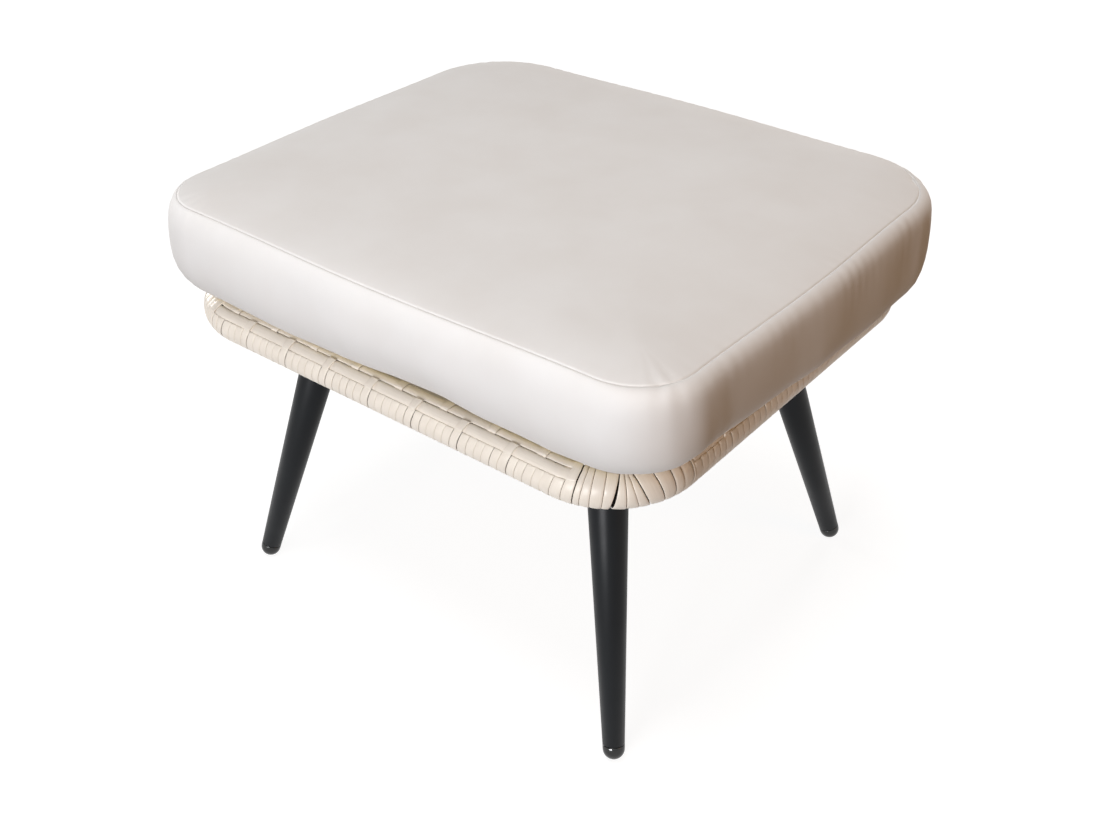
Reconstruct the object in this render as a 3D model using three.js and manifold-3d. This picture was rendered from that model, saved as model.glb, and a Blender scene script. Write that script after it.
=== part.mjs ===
// Outdoor ottoman footstool: a bent steel rail wrapped in flat resin strands, a woven deck,
// four splayed and tapered round legs, and a loose box cushion with a zip in its back boxing.
// Millimetres, +Z up, +X along the long side. The origin is on the ground, under the middle.
import * as THREE from "three";
import { mergeVertices } from "three/addons/utils/BufferGeometryUtils.js";
import Module from "manifold-3d";

const wasm = await Module();
wasm.setup();

// Rim: the outside of the weave, and the tube inside it
const RIM_LENGTH = 510;
const RIM_DEPTH = 450;
const RIM_HEIGHT = 292; // centreline of the tube above the ground
const RIM_BEND_RADIUS = 62;
const ROLL_DIAMETER = 34;
const RAIL_DIAMETER = 25.4;
const RAIL_WALL = 1.5;
const VENT_DIAMETER = 6; // weld vent into each end of a cross bar

// Strands and how they lie
const STRAND_PITCH = 8;
const STRAND_GAP = 0.7;
const STRAND_THICKNESS = 1.3;
const GROOVE_DEPTH = 1.1;
const RUNNER_WIDTH = 10;
const RUNNER_ROW_GAP = 0.9;
const RUNNER_LIFT = 0.6; // how far the strand that crosses a runner stands off it
const STRANDS_PER_BLOCK = 6;
const FAN_RATIO = 5; // how fast the gaps between strands open round a corner

// Cross bars and deck
const BAR_WIDTH = 30;
const BAR_HEIGHT = 18;
const BAR_WALL = 1.5;
const BAR_END_INSET = 6; // from the tube's centreline
const DECK_THICKNESS = 3.4;
const DECK_EDGE_INSET = 5;

// Legs: where each axis meets the ground and the underside of the bar, from the rim's outside
const FOOT_INSET_X = 39;
const FOOT_INSET_Y = 38;
const LEG_TOP_INSET_X = 104;
const LEG_TOP_INSET_Y = 107;
const LEG_TOP_DIAMETER = 37;
const LEG_FOOT_DIAMETER = 19;
const LEG_WALL = 1.5;
const FOOT_CAP_HEIGHT = 14;
const FOOT_CAP_SPIGOT = 12;
const FOOT_FLAT_DEPTH = 0.8; // taken off the round end where it stands

// Leg fixings
const BRACKET_LENGTH = 76;
const BRACKET_THICKNESS = 3;
const BOSS_DROP = 14; // along the leg's axis, from the bracket's top to the leg
const STUD_DIAMETER = 8;
const STUD_LENGTH = 32;
const STUD_TOP_INSET = 5;
const INSERT_LENGTH = 24;
const SCREW_DIAMETER = 4;
const SCREW_LENGTH = 9;
const SCREW_HEAD_DIAMETER = 8;
const SCREW_HEAD_HEIGHT = 2.4;
const SCREW_EDGE = 8; // from the bracket's end

// Cushion
const CUSHION_LENGTH_MORE = 11; // seam outline against the rim's outside
const CUSHION_DEPTH_LESS = 10;
const CUSHION_CORNER_RADIUS = 53;
const CUSHION_SEAM_HEIGHT = 88;
const CUSHION_CROWN = 8;
const CUSHION_BULGE = 10;
const CUSHION_UNDERCUT = 16;
const CUSHION_EDGE_HEIGHT = 22; // of the rounded lower edge
const CUSHION_BOW_FRONT = 4.2;
const CUSHION_BOW_SIDE = 2.6;
const COVER_THICKNESS = 2.4;

// Zip in the back boxing
const ZIP_CENTRE_HEIGHT = 43; // above the cushion's underside
const ZIP_LENGTH = 300;
const ZIP_SLIT_HEIGHT = 6;
const BACK_FLAT = 6; // how far the zip's panel stands out from the seam outline
const TAPE_WIDTH = 13;
const TAPE_THICKNESS = 0.8;
const TAPE_MORE = 12; // past the chain, all together
const CHAIN_WIDTH = 8;
const CHAIN_THICKNESS = 2.1;
const TOOTH_PITCH = 5;
const TOOTH_DEPTH = 0.6;
const STOP_LENGTH = 3;
const SLIDER_LENGTH = 12;
const SLIDER_PLATE = 1;
const SLIDER_FLANGE = 1.2;
const EAR_WIDTH = 1.2;
const EAR_LENGTH = 3;
const PIN_DIAMETER = 1.2;
const PULL_LENGTH = 24;
const PULL_WIDTH = 7;
const PULL_THICKNESS = 1.2;
const PULL_EYE_DIAMETER = 3.2;
const PULL_SLOT_DIAMETER = 3;

// Clearances and the overrun that all cuts share
const GAP = 0.35;
const PIN_GAP = 0.35;
const OVERRUN = 5;

// Angles round the roll, in degrees: 0 faces out and 90 faces up
const WRAP_START_ANGLE = -115;
const WRAP_END_ANGLE = 104;
const RIB_END_ANGLE = 35;
const RIB_STEPS = 4;
const CORNER_STEPS = 6;
const BEND_STEPS = 5;
const TUBE_SIDES = 12;
const LEG_SIDES = 16;
const SMALL_SIDES = 12;
const PIN_SIDES = 8;
const CORNER_STRANDS = 12;
const CAP_STEPS = 3;

const LOOK = {
  strand: { color: 0xe2d9cd, roughness: 0.55, metalness: 0 },
  steel: { color: 0x2b3032, roughness: 0.5, metalness: 0.6 },
  zinc: { color: 0xa9abad, roughness: 0.4, metalness: 1 },
  plastic: { color: 0x101112, roughness: 0.2, metalness: 0 },
  fabric: { color: 0xe4e0dc, roughness: 0.95, metalness: 0 },
  foam: { color: 0xeee6cf, roughness: 1, metalness: 0 },
  tape: { color: 0xd9d4ce, roughness: 0.9, metalness: 0 },
  chain: { color: 0xd6d1cc, roughness: 0.4, metalness: 0 },
};

const group = new THREE.Group();
const sin = (degrees) => Math.sin(THREE.MathUtils.degToRad(degrees));
const cos = (degrees) => Math.cos(THREE.MathUtils.degToRad(degrees));

function piece(name, geometry, look, parent = group) {
  const mesh = new THREE.Mesh(geometry, new THREE.MeshStandardMaterial(look));
  mesh.name = name;
  parent.add(mesh);
  return mesh;
}

// A closed geometry as a manifold solid, and back
function solid(geometry) {
  const bare = geometry.index ? geometry.toNonIndexed() : geometry.clone();
  bare.deleteAttribute("normal");
  bare.deleteAttribute("uv");
  const merged = mergeVertices(bare, 1e-4);
  return new wasm.Manifold(
    new wasm.Mesh({
      numProp: 3,
      vertProperties: merged.attributes.position.array,
      triVerts: new Uint32Array(merged.index.array),
    }),
  );
}

function geometryOf(made) {
  const mesh = made.getMesh();
  const geometry = new THREE.BufferGeometry();
  geometry.setAttribute(
    "position",
    new THREE.BufferAttribute(mesh.vertProperties, 3),
  );
  geometry.setIndex(new THREE.BufferAttribute(mesh.triVerts, 1));
  const faceted = geometry.toNonIndexed();
  faceted.computeVertexNormals();
  return faceted;
}

// Skins rings of points that have equal counts. Faces are the first cap's triangles,
// anticlockwise as seen against the way the rings run; without them the rings close.
function loft(rings, faces) {
  const count = rings[0].length;
  const index = [];
  const spans = faces ? rings.length - 1 : rings.length;
  for (let i = 0; i < spans; i++) {
    const here = i * count;
    const next = ((i + 1) % rings.length) * count;
    for (let k = 0; k < count; k++) {
      const k1 = (k + 1) % count;
      index.push(here + k, next + k1, here + k1, here + k, next + k, next + k1);
    }
  }
  const last = (rings.length - 1) * count;
  for (const [a, b, c] of faces ?? [])
    index.push(a, b, c, last + a, last + c, last + b);
  const geometry = new THREE.BufferGeometry();
  geometry.setAttribute(
    "position",
    new THREE.Float32BufferAttribute(rings.flat(2), 3),
  );
  geometry.setIndex(index);
  return geometry;
}

// A point at some distance out from a station, along its normal, and up
const beside = (at, out, up) => [
  at.x + at.nx * out,
  at.y + at.ny * out,
  at.z + up,
];

// Stations round a rounded rectangle
function ringStations(halfX, halfY, radius, z) {
  const stations = [];
  [
    [1, 1],
    [-1, 1],
    [-1, -1],
    [1, -1],
  ].forEach(([sx, sy], quarter) => {
    for (let i = 0; i <= BEND_STEPS; i++) {
      const turn = 90 * (quarter + i / BEND_STEPS);
      const nx = cos(turn);
      const ny = sin(turn);
      stations.push({
        x: sx * (halfX - radius) + radius * nx,
        y: sy * (halfY - radius) + radius * ny,
        z,
        nx,
        ny,
      });
    }
  });
  return stations;
}

const circleSection = (radius, sides) =>
  Array.from({ length: sides }, (_, k) => {
    const turn = (360 * k) / sides;
    return [radius * cos(turn), radius * sin(turn)];
  });

const rollRadius = ROLL_DIAMETER / 2;
const railRadius = RAIL_DIAMETER / 2;
const railHalfX = RIM_LENGTH / 2 - rollRadius;
const railHalfY = RIM_DEPTH / 2 - rollRadius;

const ringOf = (radius) => {
  const stations = ringStations(railHalfX, railHalfY, RIM_BEND_RADIUS, RIM_HEIGHT);
  const section = circleSection(radius, TUBE_SIDES);
  return solid(
    loft(stations.map((at) => section.map(([out, up]) => beside(at, out, up)))),
  );
};

// The tube with its clearance: what goes round it or butts against it is cut with this
const railEnvelope = ringOf(railRadius + GAP);

// Rail: a bent tube, vented into the four ends of the cross bars
const barX = RIM_LENGTH / 2 - LEG_TOP_INSET_X;
const deckTop = RIM_HEIGHT + rollRadius - GAP;
const deckBottom = deckTop - DECK_THICKNESS;
const barTop = deckBottom - GAP;
const barBottom = barTop - BAR_HEIGHT;
const barMiddle = (barTop + barBottom) / 2;
{
  let tube = ringOf(railRadius).subtract(ringOf(railRadius - RAIL_WALL));
  for (const sx of [-1, 1])
    for (const sy of [-1, 1]) {
      const vent = new THREE.CylinderGeometry(
        VENT_DIAMETER / 2,
        VENT_DIAMETER / 2,
        railRadius,
        PIN_SIDES,
      );
      vent.translate(sx * barX, sy * (railHalfY - railRadius), barMiddle);
      tube = tube.subtract(solid(vent));
    }
  piece("rail_tube", geometryOf(tube), LOOK.steel);
}

// Cross bars: rectangular tube, coped round the rail at both ends, drilled for the brackets
const bracketY = RIM_DEPTH / 2 - LEG_TOP_INSET_Y;
const screwOffset = BRACKET_LENGTH / 2 - SCREW_EDGE;
const screwHoleRadius = SCREW_DIAMETER / 2 + GAP;
for (const [side, sx] of [
  ["left", -1],
  ["right", 1],
]) {
  const length = 2 * (railHalfY - BAR_END_INSET);
  const outside = new THREE.BoxGeometry(BAR_WIDTH, length, BAR_HEIGHT);
  const inside = new THREE.BoxGeometry(
    BAR_WIDTH - 2 * BAR_WALL,
    length + 2 * OVERRUN,
    BAR_HEIGHT - 2 * BAR_WALL,
  );
  let bar = solid(outside)
    .subtract(solid(inside))
    .translate([sx * barX, 0, barMiddle])
    .subtract(railEnvelope);
  for (const sy of [-1, 1])
    for (const end of [-1, 1]) {
      const hole = new THREE.CylinderGeometry(
        screwHoleRadius,
        screwHoleRadius,
        2 * OVERRUN,
        PIN_SIDES,
      );
      hole.rotateX(Math.PI / 2);
      hole.translate(sx * barX, sy * bracketY + end * screwOffset, barBottom);
      bar = bar.subtract(solid(hole));
    }
  piece(`cross_bar_${side}`, geometryOf(bar), LOOK.steel);
}

// Deck: woven rows of strand, from the wrapped edge to the wrapped edge
{
  const halfX = railHalfX - DECK_EDGE_INSET;
  const halfY = railHalfY - DECK_EDGE_INSET;
  const rows = Math.round((2 * halfY) / STRAND_PITCH);
  const pitch = (2 * halfY) / rows;
  const section = [];
  for (let row = 0; row < rows; row++) {
    const start = -halfY + row * pitch;
    section.push([start, -GROOVE_DEPTH]);
    section.push([start + pitch - STRAND_GAP, 0]);
  }
  section.push([halfY, -DECK_THICKNESS]);
  section.push([-halfY, -DECK_THICKNESS]);
  section.reverse();
  const stations = [-halfX, halfX].map((x) => ({
    x,
    y: 0,
    z: deckTop,
    nx: 0,
    ny: -1,
  }));
  const rowsSolid = solid(
    loft(
      stations.map((at) => section.map(([out, up]) => beside(at, out, up))),
      THREE.ShapeUtils.triangulateShape(
        section.map(([out, up]) => new THREE.Vector2(out, up)),
        [],
      ),
    ),
  );
  const corner = RIM_BEND_RADIUS - DECK_EDGE_INSET;
  const outline = new THREE.Shape(
    ringStations(halfX, halfY, corner, 0).map(
      ({ x, y }) => new THREE.Vector2(x, y),
    ),
  );
  const plate = new THREE.ExtrudeGeometry(outline, {
    depth: DECK_THICKNESS + 2 * OVERRUN,
    bevelEnabled: false,
  });
  plate.translate(0, 0, deckBottom - OVERRUN);
  piece("deck_weave", geometryOf(rowsSolid.intersect(solid(plate))), LOOK.strand);
}

// Wrapping. Outlines of [s, radius], s along the rail, are turned round the roll from stage to
// stage; place gives the station at s. The first points of an outline, as many as its foot
// says, lie along the bore, and the rest run back over the strands.
function wound(stages, place, foot) {
  const rings = stages.map(({ turn, outline }) =>
    outline.map(([s, radius]) =>
      beside(place(s), radius * cos(turn), radius * sin(turn)),
    ),
  );
  return loft(rings, capOf(stages[0].outline, foot));
}

// The triangles that close an outline. Round a bend each keeps to its own strand, between a
// point of the bore and the points above it; on a straight run, with two bore points, any do.
function capOf(outline, foot) {
  if (foot === 2)
    return THREE.ShapeUtils.triangulateShape(
      outline.map(([s, radius]) => new THREE.Vector2(s, radius)),
      [],
    );
  const faces = [];
  let low = 0;
  let high = outline.length - 1;
  while (low < foot - 1 || high > foot) {
    const onFoot =
      high === foot ||
      (low < foot - 1 && outline[low + 1][0] < outline[high - 1][0]);
    if (onFoot) faces.push([low, low + 1, high]);
    else faces.push([low, high - 1, high]);
    if (onFoot) low++;
    else high--;
  }
  return faces;
}

const degreesOn = (width, radius) => THREE.MathUtils.radToDeg(width / radius);
const stepAngle = Math.max(
  (RIB_END_ANGLE - WRAP_START_ANGLE) / RIB_STEPS,
  (WRAP_END_ANGLE - WRAP_START_ANGLE) / CORNER_STEPS,
);
const boreRadius = (railRadius + GAP) / cos(stepAngle / 2);
const rowAngle = degreesOn(RUNNER_WIDTH, rollRadius);
const rowGapAngle = degreesOn(RUNNER_ROW_GAP, rollRadius);
const runnerSeat = rollRadius - STRAND_THICKNESS;

// On a side the strands stand square to the rail, each lapped a little over the next, up to
// two runners along the top. A runner passes over five strands and under the sixth, and the
// rows are staggered by half a block.
function sideWrap(side, half, place) {
  const start = GAP / 2 - half;
  const length = 2 * half - GAP;
  const count = Math.round(length / STRAND_PITCH);
  const pitch = length / count;
  const outline = [
    [start, boreRadius],
    [start + length, boreRadius],
  ];
  for (let i = count; i > 0; i--) {
    outline.push([start + i * pitch, rollRadius]);
    outline.push([start + (i - 1) * pitch, rollRadius - GROOVE_DEPTH]);
  }
  const stages = [];
  for (let k = 0; k <= RIB_STEPS; k++)
    stages.push({
      turn: THREE.MathUtils.lerp(WRAP_START_ANGLE, RIB_END_ANGLE, k / RIB_STEPS),
      outline,
    });
  piece(`wrap_${side}`, wound(stages, place, 2), LOOK.strand);

  const end = start + length;
  const block = STRANDS_PER_BLOCK * pitch;
  const row = (shift) => {
    const blocks = Math.ceil(length / block) + 1;
    const crests = [];
    for (let n = -blocks; n <= blocks; n++) {
      const at = shift + n * block;
      crests.push([at, runnerSeat]);
      crests.push([at + STRAND_GAP, rollRadius]);
      crests.push([at + block - pitch - STRAND_GAP, rollRadius]);
      crests.push([at + block - pitch, rollRadius + RUNNER_LIFT]);
      crests.push([at + block - STRAND_GAP, rollRadius + RUNNER_LIFT]);
    }
    const cut = (s) => {
      const k = crests.findIndex((crest) => crest[0] > s);
      const [[s0, r0], [s1, r1]] = [crests[k - 1], crests[k]];
      return [s, THREE.MathUtils.mapLinear(s, s0, s1, r0, r1)];
    };
    return [
      [start, boreRadius],
      [end, boreRadius],
      cut(end),
      ...crests
        .filter(([s]) => s > start + GAP && s < end - GAP)
        .reverse(),
      cut(start),
    ];
  };
  const low = RIB_END_ANGLE + degreesOn(GAP, boreRadius);
  const high = low + rowAngle;
  for (const [level, from, to, shift] of [
    ["lower", low, high - rowGapAngle, 0],
    ["upper", high, WRAP_END_ANGLE, block / 2],
  ]) {
    const outline = row(shift);
    piece(
      `runner_${level}_${side}`,
      wound([{ turn: from, outline }, { turn: to, outline }], place, 2),
      LOOK.strand,
    );
  }
}

const straightX = railHalfX - RIM_BEND_RADIUS;
const straightY = railHalfY - RIM_BEND_RADIUS;
for (const [side, half, nx, ny] of [
  ["front", straightX, 0, -1],
  ["right", straightY, 1, 0],
  ["back", straightX, 0, 1],
  ["left", straightY, -1, 0],
])
  sideWrap(side, half, (s) => ({
    x: nx * railHalfX - ny * s,
    y: ny * railHalfY + nx * s,
    z: RIM_HEIGHT,
    nx,
    ny,
  }));

// At a corner the strands fan out: their gaps widen towards the outside of the bend
["back_right", "back_left", "front_left", "front_right"].forEach(
  (corner, quarter) => {
    const sx = quarter === 0 || quarter === 3 ? 1 : -1;
    const sy = quarter < 2 ? 1 : -1;
    const length = (RIM_BEND_RADIUS * Math.PI) / 2;
    const pitch = length / CORNER_STRANDS;
    const first = GAP / 2;
    const last = length - GAP / 2;
    const place = (s) => {
      const turn = 90 * (quarter + s / length);
      const nx = cos(turn);
      const ny = sin(turn);
      return {
        x: sx * straightX + RIM_BEND_RADIUS * nx,
        y: sy * straightY + RIM_BEND_RADIUS * ny,
        z: RIM_HEIGHT,
        nx,
        ny,
      };
    };
    const stages = [];
    for (let k = 0; k <= CORNER_STEPS; k++) {
      const turn = THREE.MathUtils.lerp(WRAP_START_ANGLE, WRAP_END_ANGLE, k / CORNER_STEPS);
      const spread = 1 + (rollRadius * cos(turn)) / RIM_BEND_RADIUS;
      const gap = Math.max(STRAND_GAP * (1 + FAN_RATIO * (spread - 1)), GAP);
      const outline = [];
      for (let i = 0; i <= CORNER_STRANDS; i++)
        outline.push([
          THREE.MathUtils.clamp(i * pitch, first, last),
          boreRadius,
        ]);
      for (let i = CORNER_STRANDS; i > 0; i--) {
        const right = i === CORNER_STRANDS ? last : i * pitch - gap / 2;
        const left = i === 1 ? first : (i - 1) * pitch + gap / 2;
        outline.push([right, rollRadius]);
        outline.push([left, rollRadius]);
        if (i > 1) outline.push([(i - 1) * pitch, rollRadius - 2 * GROOVE_DEPTH]);
      }
      stages.push({ turn, outline });
    }
    piece(
      `wrap_corner_${corner}`,
      wound(stages, place, CORNER_STRANDS + 1),
      LOOK.strand,
    );
  },
);

// Legs, each in a group whose +Y runs up the leg's axis from the point where it meets the ground
const bracketTop = barBottom - GAP;
const footX = RIM_LENGTH / 2 - FOOT_INSET_X;
const footY = RIM_DEPTH / 2 - FOOT_INSET_Y;
const axisLength = Math.hypot(footX - barX, footY - bracketY, bracketTop);
const legTopY = axisLength - BOSS_DROP - GAP;
const legBottomY = FOOT_CAP_HEIGHT + GAP;
const legRadiusAt = (y) =>
  THREE.MathUtils.lerp(
    LEG_FOOT_DIAMETER / 2,
    LEG_TOP_DIAMETER / 2,
    (y - legBottomY) / (legTopY - legBottomY),
  );
const lathe = (points, sides) =>
  new THREE.LatheGeometry(
    points.map(([r, y]) => new THREE.Vector2(r, y)),
    sides,
  );

for (const [corner, sx, sy] of [
  ["front_left", -1, -1],
  ["front_right", 1, -1],
  ["back_right", 1, 1],
  ["back_left", -1, 1],
]) {
  const leg = new THREE.Group();
  const foot = new THREE.Vector3(sx * footX, sy * footY, 0);
  const top = new THREE.Vector3(sx * barX, sy * bracketY, bracketTop);
  const axis = top.clone().sub(foot).normalize();
  leg.position.copy(foot);
  leg.quaternion.setFromUnitVectors(new THREE.Vector3(0, 1, 0), axis);
  leg.updateMatrix();
  group.add(leg);

  const innerTop = legRadiusAt(legTopY) - LEG_WALL;
  const innerBottom = legRadiusAt(legBottomY) - LEG_WALL;
  piece(
    `leg_${corner}`,
    lathe(
      [
        [innerBottom, legBottomY],
        [legRadiusAt(legBottomY), legBottomY],
        [legRadiusAt(legTopY), legTopY],
        [innerTop, legTopY],
        [innerBottom, legBottomY],
      ],
      LEG_SIDES,
    ),
    LOOK.steel,
    leg,
  );

  // Foot cap: a round end as wide as the leg, a spigot up inside it, and a flat to stand on
  const capRadius = LEG_FOOT_DIAMETER / 2;
  const ballY = (capRadius - FOOT_FLAT_DEPTH) / axis.z;
  const spigotRadius = innerBottom - GAP;
  const profile = [];
  for (let k = 0; k <= CAP_STEPS; k++) {
    const turn = -90 + (90 * k) / CAP_STEPS;
    profile.push([
      k === 0 ? 0 : capRadius * cos(turn),
      ballY + capRadius * sin(turn),
    ]);
  }
  profile.push([capRadius, FOOT_CAP_HEIGHT]);
  profile.push([spigotRadius, FOOT_CAP_HEIGHT]);
  profile.push([spigotRadius, FOOT_CAP_HEIGHT + FOOT_CAP_SPIGOT]);
  profile.push([0, FOOT_CAP_HEIGHT + FOOT_CAP_SPIGOT]);
  const ground = new THREE.BoxGeometry(
    LEG_TOP_DIAMETER * 2,
    LEG_TOP_DIAMETER * 2,
    OVERRUN * 2,
  );
  ground.translate(foot.x, foot.y, -OVERRUN);
  ground.applyMatrix4(leg.matrix.clone().invert());
  piece(
    `foot_cap_${corner}`,
    geometryOf(solid(lathe(profile, LEG_SIDES)).subtract(solid(ground))),
    LOOK.plastic,
    leg,
  );

  // Insert pressed into the leg's top, and the stud that joins it to the bracket
  const insertBottomY = legTopY - INSERT_LENGTH;
  const studRadius = STUD_DIAMETER / 2;
  const insertRadiusAt = (y) => legRadiusAt(y) - LEG_WALL - GAP;
  piece(
    `leg_insert_${corner}`,
    lathe(
      [
        [studRadius + GAP, insertBottomY],
        [insertRadiusAt(insertBottomY), insertBottomY],
        [insertRadiusAt(legTopY), legTopY],
        [studRadius + GAP, legTopY],
        [studRadius + GAP, insertBottomY],
      ],
      LEG_SIDES,
    ),
    LOOK.plastic,
    leg,
  );
  const stud = new THREE.CylinderGeometry(
    studRadius,
    studRadius,
    STUD_LENGTH,
    SMALL_SIDES,
  );
  stud.translate(0, axisLength - STUD_TOP_INSET - STUD_LENGTH / 2, 0);
  piece(`leg_stud_${corner}`, stud, LOOK.zinc, leg);

  // Bracket: a plate under the cross bar with a boss cut square to the leg
  const bracket = new THREE.Group();
  bracket.position.copy(top);
  group.add(bracket);
  const tilt = new THREE.Matrix4().makeRotationFromQuaternion(leg.quaternion);
  const plate = new THREE.BoxGeometry(
    BAR_WIDTH,
    BRACKET_LENGTH,
    BRACKET_THICKNESS,
  );
  plate.translate(0, 0, -BRACKET_THICKNESS / 2);
  const boss = new THREE.CylinderGeometry(
    LEG_TOP_DIAMETER / 2,
    LEG_TOP_DIAMETER / 2,
    BOSS_DROP * 2,
    LEG_SIDES,
  );
  boss.applyMatrix4(tilt);
  const above = new THREE.BoxGeometry(
    LEG_TOP_DIAMETER * 2,
    LEG_TOP_DIAMETER * 2,
    LEG_TOP_DIAMETER,
  );
  above.translate(0, 0, LEG_TOP_DIAMETER / 2);
  const bore = new THREE.CylinderGeometry(
    studRadius + GAP,
    studRadius + GAP,
    BOSS_DROP * 4,
    SMALL_SIDES,
  );
  bore.applyMatrix4(tilt);
  let body = solid(plate)
    .add(solid(boss).subtract(solid(above)))
    .subtract(solid(bore));
  for (const [end, which] of [
    [-1, "a"],
    [1, "b"],
  ]) {
    const hole = new THREE.CylinderGeometry(
      screwHoleRadius,
      screwHoleRadius,
      OVERRUN * 4,
      PIN_SIDES,
    );
    hole.rotateX(Math.PI / 2);
    hole.translate(0, end * screwOffset, 0);
    body = body.subtract(solid(hole));
    const screw = lathe(
      [
        [0, -SCREW_HEAD_HEIGHT],
        [SCREW_HEAD_DIAMETER / 3, -SCREW_HEAD_HEIGHT],
        [SCREW_HEAD_DIAMETER / 2, 0],
        [SCREW_DIAMETER / 2, 0],
        [SCREW_DIAMETER / 2, SCREW_LENGTH],
        [0, SCREW_LENGTH],
      ],
      PIN_SIDES,
    );
    screw.rotateX(Math.PI / 2);
    const mesh = piece(
      `bracket_screw_${corner}_${which}`,
      screw,
      LOOK.zinc,
      bracket,
    );
    mesh.position.set(0, end * screwOffset, -BRACKET_THICKNESS - GAP);
  }
  piece(`leg_bracket_${corner}`, geometryOf(body), LOOK.steel, bracket);
}

// Cushion, in a group that stands on the rim. Rings of the seam's outline are moved out or in
// and stacked: a rounded lower edge, bulging boxing, the seam, and a low crown.
const cushion = new THREE.Group();
const cushionBottom = RIM_HEIGHT + rollRadius + RUNNER_LIFT + GAP;
cushion.position.z = cushionBottom;
group.add(cushion);
const seamHalfX = (RIM_LENGTH + CUSHION_LENGTH_MORE) / 2;
const seamHalfY = (RIM_DEPTH - CUSHION_DEPTH_LESS) / 2;
const zipPlane = seamHalfY + BACK_FLAT;

const boxingShares = [
  [0, 0.9],
  [0.27, 1],
  [0.55, 0.84],
  [0.79, 0.5],
  [1, 0],
];
const crownShares = [
  [0.976, 0.3],
  [0.9, 0.62],
  [0.66, 0.88],
  [0.33, 0.98],
];

function outline(cornerSteps, sideSteps) {
  const points = [];
  const corners = [
    [1, 1],
    [-1, 1],
    [-1, -1],
    [1, -1],
  ];
  corners.forEach(([sx, sy], quarter) => {
    const flatX = seamHalfX - CUSHION_CORNER_RADIUS;
    const flatY = seamHalfY - CUSHION_CORNER_RADIUS;
    for (let i = 0; i <= cornerSteps; i++) {
      const turn = 90 * (quarter + i / cornerSteps);
      points.push({
        x: sx * flatX + CUSHION_CORNER_RADIUS * cos(turn),
        y: sy * flatY + CUSHION_CORNER_RADIUS * sin(turn),
        nx: cos(turn),
        ny: sin(turn),
      });
    }
    const alongX = quarter % 2 === 0;
    const bow = alongX ? CUSHION_BOW_FRONT : CUSHION_BOW_SIDE;
    const nx = alongX ? 0 : quarter === 1 ? -1 : 1;
    const ny = alongX ? (quarter === 0 ? 1 : -1) : 0;
    for (let i = 1; i < sideSteps; i++) {
      const share = i / sideSteps;
      const swell = bow * 4 * share * (1 - share);
      points.push({
        x: alongX ? sx * flatX * (1 - 2 * share) : nx * (seamHalfX + swell),
        y: alongX ? ny * (seamHalfY + swell) : sy * flatY * (1 - 2 * share),
        nx,
        ny,
      });
    }
  });
  return points;
}

// The whole form, drawn in all round by an inset, with its back held flat for the zip
function cushionForm(inset, cornerSteps, sideSteps, edgeSteps) {
  const plan = outline(cornerSteps, sideSteps);
  const rings = [];
  const ring = (out, up) =>
    rings.push(
      plan.map(({ x, y, nx, ny }) => [x + nx * out, y + ny * out, up]),
    );
  const widest = CUSHION_BULGE * boxingShares[0][1];
  for (let k = 0; k < edgeSteps; k++) {
    const turn = (90 * k) / edgeSteps;
    ring(
      (widest + CUSHION_UNDERCUT) * sin(turn) - CUSHION_UNDERCUT - inset,
      Math.max(CUSHION_EDGE_HEIGHT * (1 - cos(turn)), inset),
    );
  }
  for (const [rise, swell] of boxingShares)
    ring(
      CUSHION_BULGE * swell - inset,
      THREE.MathUtils.lerp(CUSHION_EDGE_HEIGHT, CUSHION_SEAM_HEIGHT, rise) -
        (rise === 1 ? inset : 0),
    );
  for (const [scale, rise] of crownShares)
    rings.push(
      plan.map(({ x, y, nx, ny }) => [
        (x - nx * inset) * scale,
        (y - ny * inset) * scale,
        CUSHION_SEAM_HEIGHT + CUSHION_CROWN * rise - inset,
      ]),
    );
  const count = plan.length;
  const positions = [];
  for (const points of rings)
    for (const [x, y, z] of points)
      positions.push(x, Math.min(y, zipPlane - inset), z);
  const low = count * rings.length;
  const high = low + 1;
  positions.push(0, 0, rings[0][0][2]);
  positions.push(0, 0, CUSHION_SEAM_HEIGHT + CUSHION_CROWN - inset);
  const index = [];
  for (let k = 0; k < count; k++) {
    const k1 = (k + 1) % count;
    index.push(low, k1, k);
    const last = count * (rings.length - 1);
    index.push(high, last + k, last + k1);
    for (let r = 0; r < rings.length - 1; r++) {
      const a = r * count;
      const b = a + count;
      index.push(a + k, a + k1, b + k1, a + k, b + k1, b + k);
    }
  }
  const geometry = new THREE.BufferGeometry();
  geometry.setAttribute(
    "position",
    new THREE.Float32BufferAttribute(positions, 3),
  );
  geometry.setIndex(index);
  return geometry;
}

{
  const outside = cushionForm(0, 5, 5, 4);
  const inside = cushionForm(COVER_THICKNESS, 3, 3, 2);
  const slit = new THREE.BoxGeometry(
    ZIP_LENGTH,
    2 * (COVER_THICKNESS + OVERRUN),
    ZIP_SLIT_HEIGHT,
  );
  slit.translate(0, zipPlane, ZIP_CENTRE_HEIGHT);
  piece(
    "cushion_cover",
    geometryOf(solid(outside).subtract(solid(inside)).subtract(solid(slit))),
    LOOK.fabric,
    cushion,
  );
  piece(
    "cushion_foam",
    geometryOf(solid(cushionForm(COVER_THICKNESS + GAP, 3, 3, 2))),
    LOOK.foam,
    cushion,
  );
}

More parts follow.
